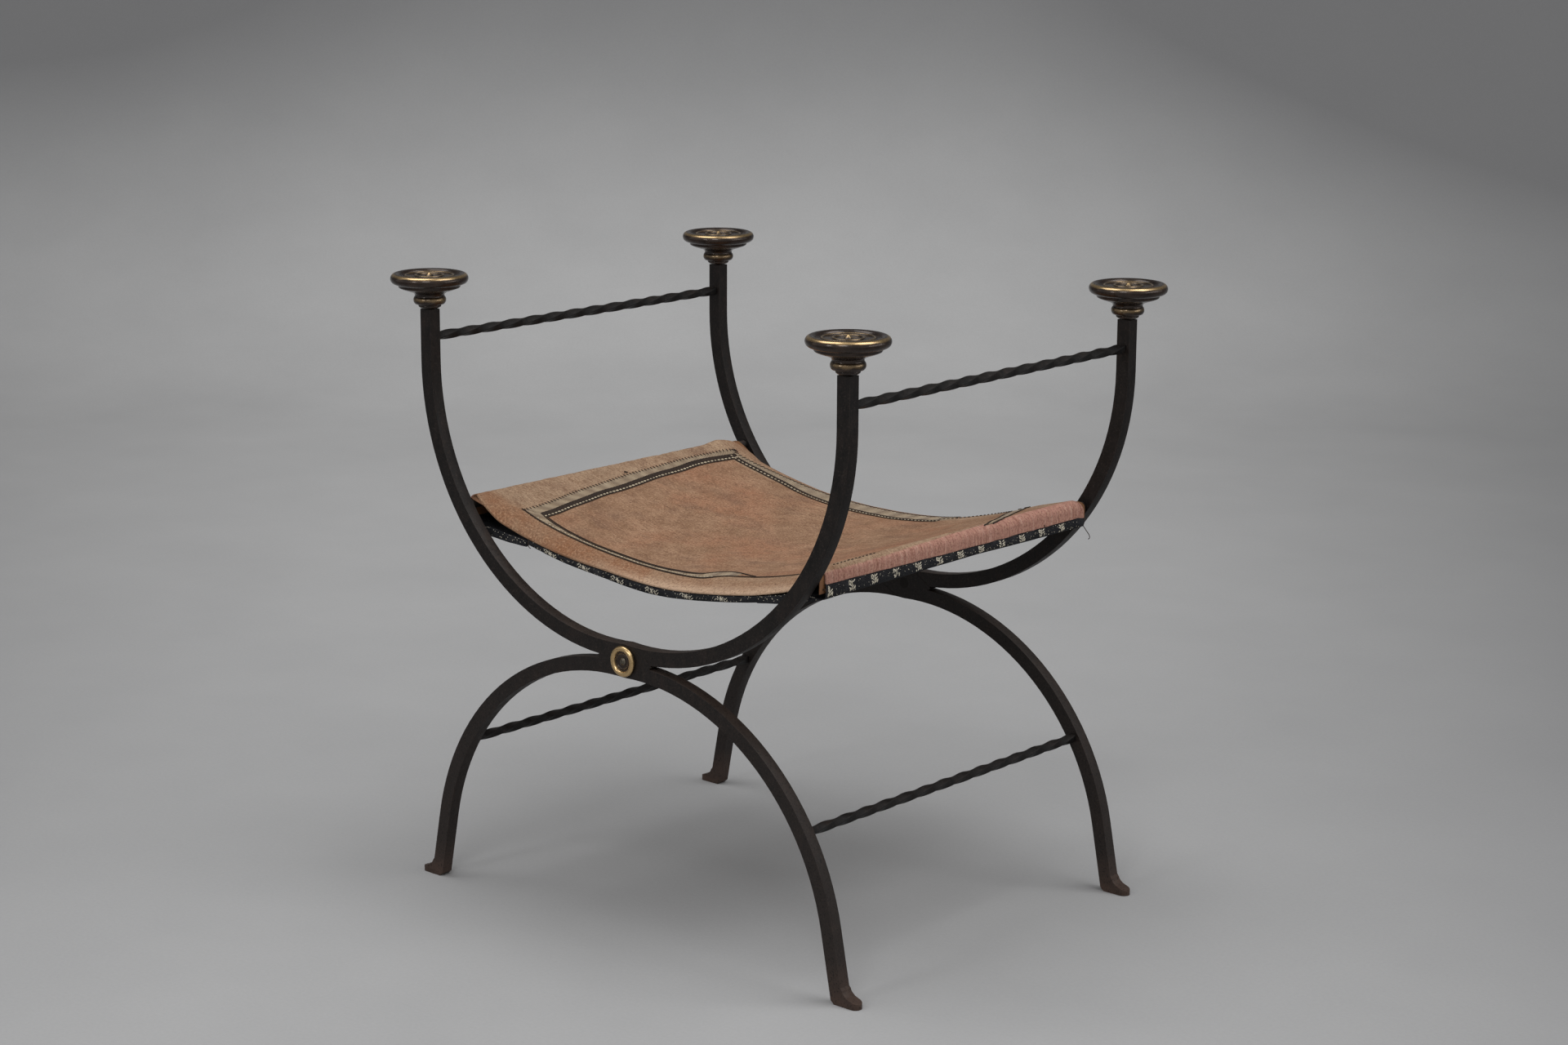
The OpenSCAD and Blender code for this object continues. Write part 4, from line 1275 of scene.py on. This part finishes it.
def edge_figures(name, grid, side, white):
    """White figures along an edge band's outward face, by x and by distance down from its upper end."""
    cloth = Cloth(grid, grid[..., 0], run_lengths(grid), BAND_T / 2, side)

    def tall(x):
        return 1.0 * MM + 5.6 * MM * band_depth(x)

    marks = flecks(EDGE_BAND_X - 4 * MM, FRONT_TOP - 0.6 * MM, tall, 11 + side, 3.2 * MM)
    for k, x in enumerate(np.arange(-3, 4) * FRONT_STEP + FRONT_SHIFT):
        if abs(x) < EDGE_BAND_X - 10 * MM:
            marks += figure(DIAMOND, x, FRONT_HALF, FRONT_TOP, tall(x), 0.85 * MM, k + 10 * side)
    return stitches(name, [(cloth, marks)], white)


class HemCloth(Cloth):
    """A hem band's outer face, by y and by distance down from its upper end."""

    def at(self, u, v):
        return super().at(v, u)


def hem_figures(name, grid, side, white):
    """White figures along a hem band."""
    ends = FLAP_ROWS + CURL_ROWS
    body = grid[ends:-ends]
    cloth = HemCloth(body, run_lengths(body, 1), body[..., 1], BAND_T / 2, side)

    def tall(y):
        return np.interp(y, HEM_PLACES, HEM_BOTTOM[side]) - cover_drop(y) - 0.2 * MM

    marks = flecks(COVER_Y - 8 * MM, HEM_TOP - 0.3 * MM, tall, 31 + side, 2.8 * MM)
    for k, y in enumerate(np.arange(-5.5, 6) * HEM_STEP + HEM_SHIFT):
        marks += figure(LEAF, y, HEM_HALF, HEM_TOP, tall(y), 1.2 * MM, k + 20 * side)
    return stitches(name, [(cloth, marks)] + [flap_flecks(grid, side, end) for end in (-1, 1)], white)


def flap_flecks(grid, side, end):
    """White flecks on the outer face of a hem band's flap, by x and by share of the flap's height."""
    rows = grid[FLAP_ROWS - 1::-1] if end < 0 else grid[-FLAP_ROWS:]
    rows = rows[:, 14:-3] if side < 0 else rows[:, -4:13:-1]
    up = np.repeat(np.linspace(0.05, 1, FLAP_ROWS)[:, None], rows.shape[1], axis=1)
    cloth = Cloth(rows, rows[..., 0], up, BAND_T / 2, sign(np.sum(normals(rows)[..., 1]) * end))
    low, high = rows[0, 0, 0], rows[0, -1, 0]
    draw = np.random.default_rng(50 + side + 3 * end)
    marks = []
    for x in np.linspace(low + 2 * MM, high - 2 * MM, FLAP_FLECKS):
        p = np.array((x, draw.uniform(0.1, 0.8)))
        marks.append(fleck(draw, p, (0.8, 2.4), 0.6, 0.5, FLAP[0]))
    return cloth, marks


# Stage and lights

# The paper's colours in painted shade and in painted light.
PAPER_IN_PAINTED_SHADE, PAPER_IN_PAINTED_LIGHT = (138, 138, 139), (210, 210, 210)
PAPER_FRONT, PAPER_BACK, PAPER_BEND, PAPER_WIDE, PAPER_HIGH = -6.0, 4.4, 1.8, 12.0, 9.0


def make_stage():
    """A paper sweep that curves up behind the stool, painted with a falloff of light: lightest where it
    starts to rise, in painted shade up the wall and towards the sides.
    """
    away = Vector((-math.sin(CAMERA_YAW), math.cos(CAMERA_YAW), 0))
    side = Vector((math.cos(CAMERA_YAW), math.sin(CAMERA_YAW), 0))
    s = Shader("grey_paper")
    grain = s.noise(260, 3, 0.6)
    smudges = s.noise(3.2, 5, 0.6)
    # Painted light and shade: lighter further back, painted shade up the wall and towards the sides.
    back = s.soft(s.towards(away), 0.0, 3.3, 0.4, 1.0)
    sideways = s.towards(side)
    sides = s.math("ADD", s.soft(sideways, 0.2, 2.0, 0.0, 0.8), s.soft(sideways, -1.8, -0.5, 0.35, 0.0))
    rise = s.soft(s.split(s.at, "Z"), 0.06, 0.8, 0.0, 0.86)
    painted_light_falloff = s.mix(s.math("SUBTRACT", s.math("SUBTRACT", back, rise), sides), PAPER_IN_PAINTED_SHADE, PAPER_IN_PAINTED_LIGHT)
    smudged = s.blend(smudges, 0.3, 0.75, painted_light_falloff, (120, 121, 124), 0.12)
    s.set(Base_Color=s.blend(grain, 0.3, 0.8, smudged, (90, 90, 90), 0.08), Roughness=0.95)
    s.set(Specular_IOR_Level=0.1)
    foot = PAPER_BACK - PAPER_BEND
    turns = np.linspace(0, math.pi / 2, 24)
    bend = [(foot + PAPER_BEND * math.sin(a), PAPER_BEND - PAPER_BEND * math.cos(a)) for a in turns]
    line = [(PAPER_FRONT, 0.0), (foot, 0.0)] + bend + [(PAPER_BACK, PAPER_HIGH)]
    points = [away * d + side * w + Vector((0, 0, z)) for w in (-PAPER_WIDE, PAPER_WIDE) for d, z in line]
    n = len(line)
    faces = [(i, n + i, n + i + 1, i + 1) for i in range(n - 1)]
    mesh_object("backdrop", points, faces, s.material)


# Each lamp: compass angle and height angle from the seat, distance, width, height and power
LAMPS = {
    "key_right": (23, 62, 3.2, 1.7, 1.7, 33),
    "key_left": (-150, 68, 3.2, 1.7, 1.7, 26),
    "front": (-62, 40, 3.4, 1.0, 0.8, 20),
    "strip_right": (22, 18, 3.0, 2.2, 0.3, 9),
    "spot_left": (-96, 26, 2.8, 0.4, 0.4, 6),
}
SEAT_AT = Vector((0, 0, 0.4))
WORLD_STRENGTH = 0.5


def make_lights():
    world = bpy.data.worlds.new("world")
    bpy.context.scene.world = world
    world.use_nodes = True
    world.node_tree.nodes["Background"].inputs["Color"].default_value = (1, 1, 1, 1)
    world.node_tree.nodes["Background"].inputs["Strength"].default_value = WORLD_STRENGTH
    for name, (turn, lift, far, wide, tall, power) in LAMPS.items():
        turn, lift = math.radians(turn), math.radians(lift)
        toward = Vector((math.cos(turn) * math.cos(lift), math.sin(turn) * math.cos(lift), math.sin(lift)))
        lamp = add_object(name, bpy.data.lights.new(name, "AREA"))
        lamp.data.shape = "RECTANGLE"
        lamp.data.size, lamp.data.size_y = wide, tall
        lamp.data.energy = power
        at = SEAT_AT + toward * far
        lamp.location = at
        lamp.rotation_euler = (SEAT_AT - at).to_track_quat("-Z", "Y").to_euler()


def soften(node, width):
    """Rounds the sharp edges of a CAD node with modifiers alone."""
    piece = frame["nodes"][node]
    weld = piece.modifiers.new("weld", "WELD")
    weld.merge_threshold = 0.00001
    merge = piece.modifiers.new("merge", "DECIMATE")
    merge.decimate_type = "DISSOLVE"
    merge.angle_limit = math.radians(0.4)
    bevel = piece.modifiers.new("bevel", "BEVEL")
    bevel.width = width
    bevel.segments = 3
    bevel.limit_method = "ANGLE"
    bevel.angle_limit = math.radians(40)
    bevel.harden_normals = True
    # The bevels take the second material: a lighter iron, partly edge wear and partly a painted highlight
    # along the arrises.
    bevel.material = 1


# The scene

make_camera()
make_stage()
make_lights()

IRON = iron_material("forged_iron", (17, 14, 13), (31, 26, 24), (61, 52, 47))
# Lighter iron for the bevelled arrises: edge wear and a painted highlight.
ARRIS_WEAR_AND_HIGHLIGHT_IRON = iron_material("worn_and_highlit_arrises", (40, 34, 31), (72, 62, 56), (80, 68, 61))
ROD_IRON = iron_material("forged_rods", (9, 8, 8), (20, 17, 16), (30, 26, 24), (18, 16, 15))
STEEL = steel_material()
BRASS = brass_material()
VELVET = velvet_material()
LEATHER = leather_material()
WEAVE = weave_material()
DARK_THREAD = thread_material("dark_thread", (62, 50, 42), (34, 27, 23))
WHITE_THREAD = thread_material("white_thread", (222, 215, 198), (172, 163, 144))
CREAM_THREAD = thread_material("cream_thread", (206, 193, 168), (148, 133, 109))
BEIGE_THREAD = band_material()

for piece in frame["nodes"].values():
    piece.data.materials.clear()
    piece.data.materials.append(IRON)
for node in ("front_left_bar", "rear_left_bar", "front_right_bar", "rear_right_bar"):
    frame["nodes"][node].data.materials.append(ARRIS_WEAR_AND_HIGHLIGHT_IRON)
    soften(node, 1.1 * MM)
for node in ("front_pivot_pin", "rear_pivot_pin"):
    frame["nodes"][node].data.materials[0] = STEEL

make_knobs(BRASS)
make_rosettes(BRASS)
for seed, node in enumerate(("left_arm_rod", "right_arm_rod", "left_stretcher", "right_stretcher")):
    make_twisted_rod(node, seed * 7.3, ROD_IRON)
RODS = ["left_seat_rod", "right_seat_rod"]
for node in RODS:
    make_seat_rod(node, IRON)

LEFT_ROD, RIGHT_ROD = (-ROD_X, 0, ROD_Z), (ROD_X, 0, ROD_Z)


def across_fold(piece):
    """Bakes a piece of the sling's placement into its points."""
    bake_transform(piece)
    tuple(LEFT_ROD)
    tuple(RIGHT_ROD)


def sling(piece, node, flat):
    """Hides a soft node and bakes the placement of the piece that takes its place."""
    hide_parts(node)
    across_fold(piece)


# Each woven band: its place, its side, how it and its figures are made, and its flat size
BANDS = (
    ("front", -1, make_edge_band, edge_figures, (0.33, 0.035)),
    ("rear", 1, make_edge_band, edge_figures, (0.33, 0.035)),
    ("right", 1, make_hem_band, hem_figures, (0.105, 0.44)),
    ("left", -1, make_hem_band, hem_figures, (0.105, 0.44)),
)

cover, cover_grid = make_cover(VELVET)
leather = make_leather(LEATHER)
bands = [make(f"{place}_band", side, WEAVE) for place, side, make, _, _ in BANDS]
embroidery = make_embroidery(cover_grid, DARK_THREAD, CREAM_THREAD, BEIGE_THREAD)
figures = []
for (place, side, _, draw_figures, _), (_, grid) in zip(BANDS, bands):
    figures.append(draw_figures(f"{place}_band_figures", grid, side, WHITE_THREAD))
threads = loose_threads("loose_threads", DARK_THREAD)
for piece in embroidery + figures + [threads]:
    across_fold(piece)

sling(leather, "seat_leather", (0.56, 0.42))
sling(cover, "seat_cover", (0.54, 0.45))
for (place, _, _, _, flat), (band, _), white in zip(BANDS, bands, figures):
    sling(band, f"{place}_trim", flat)
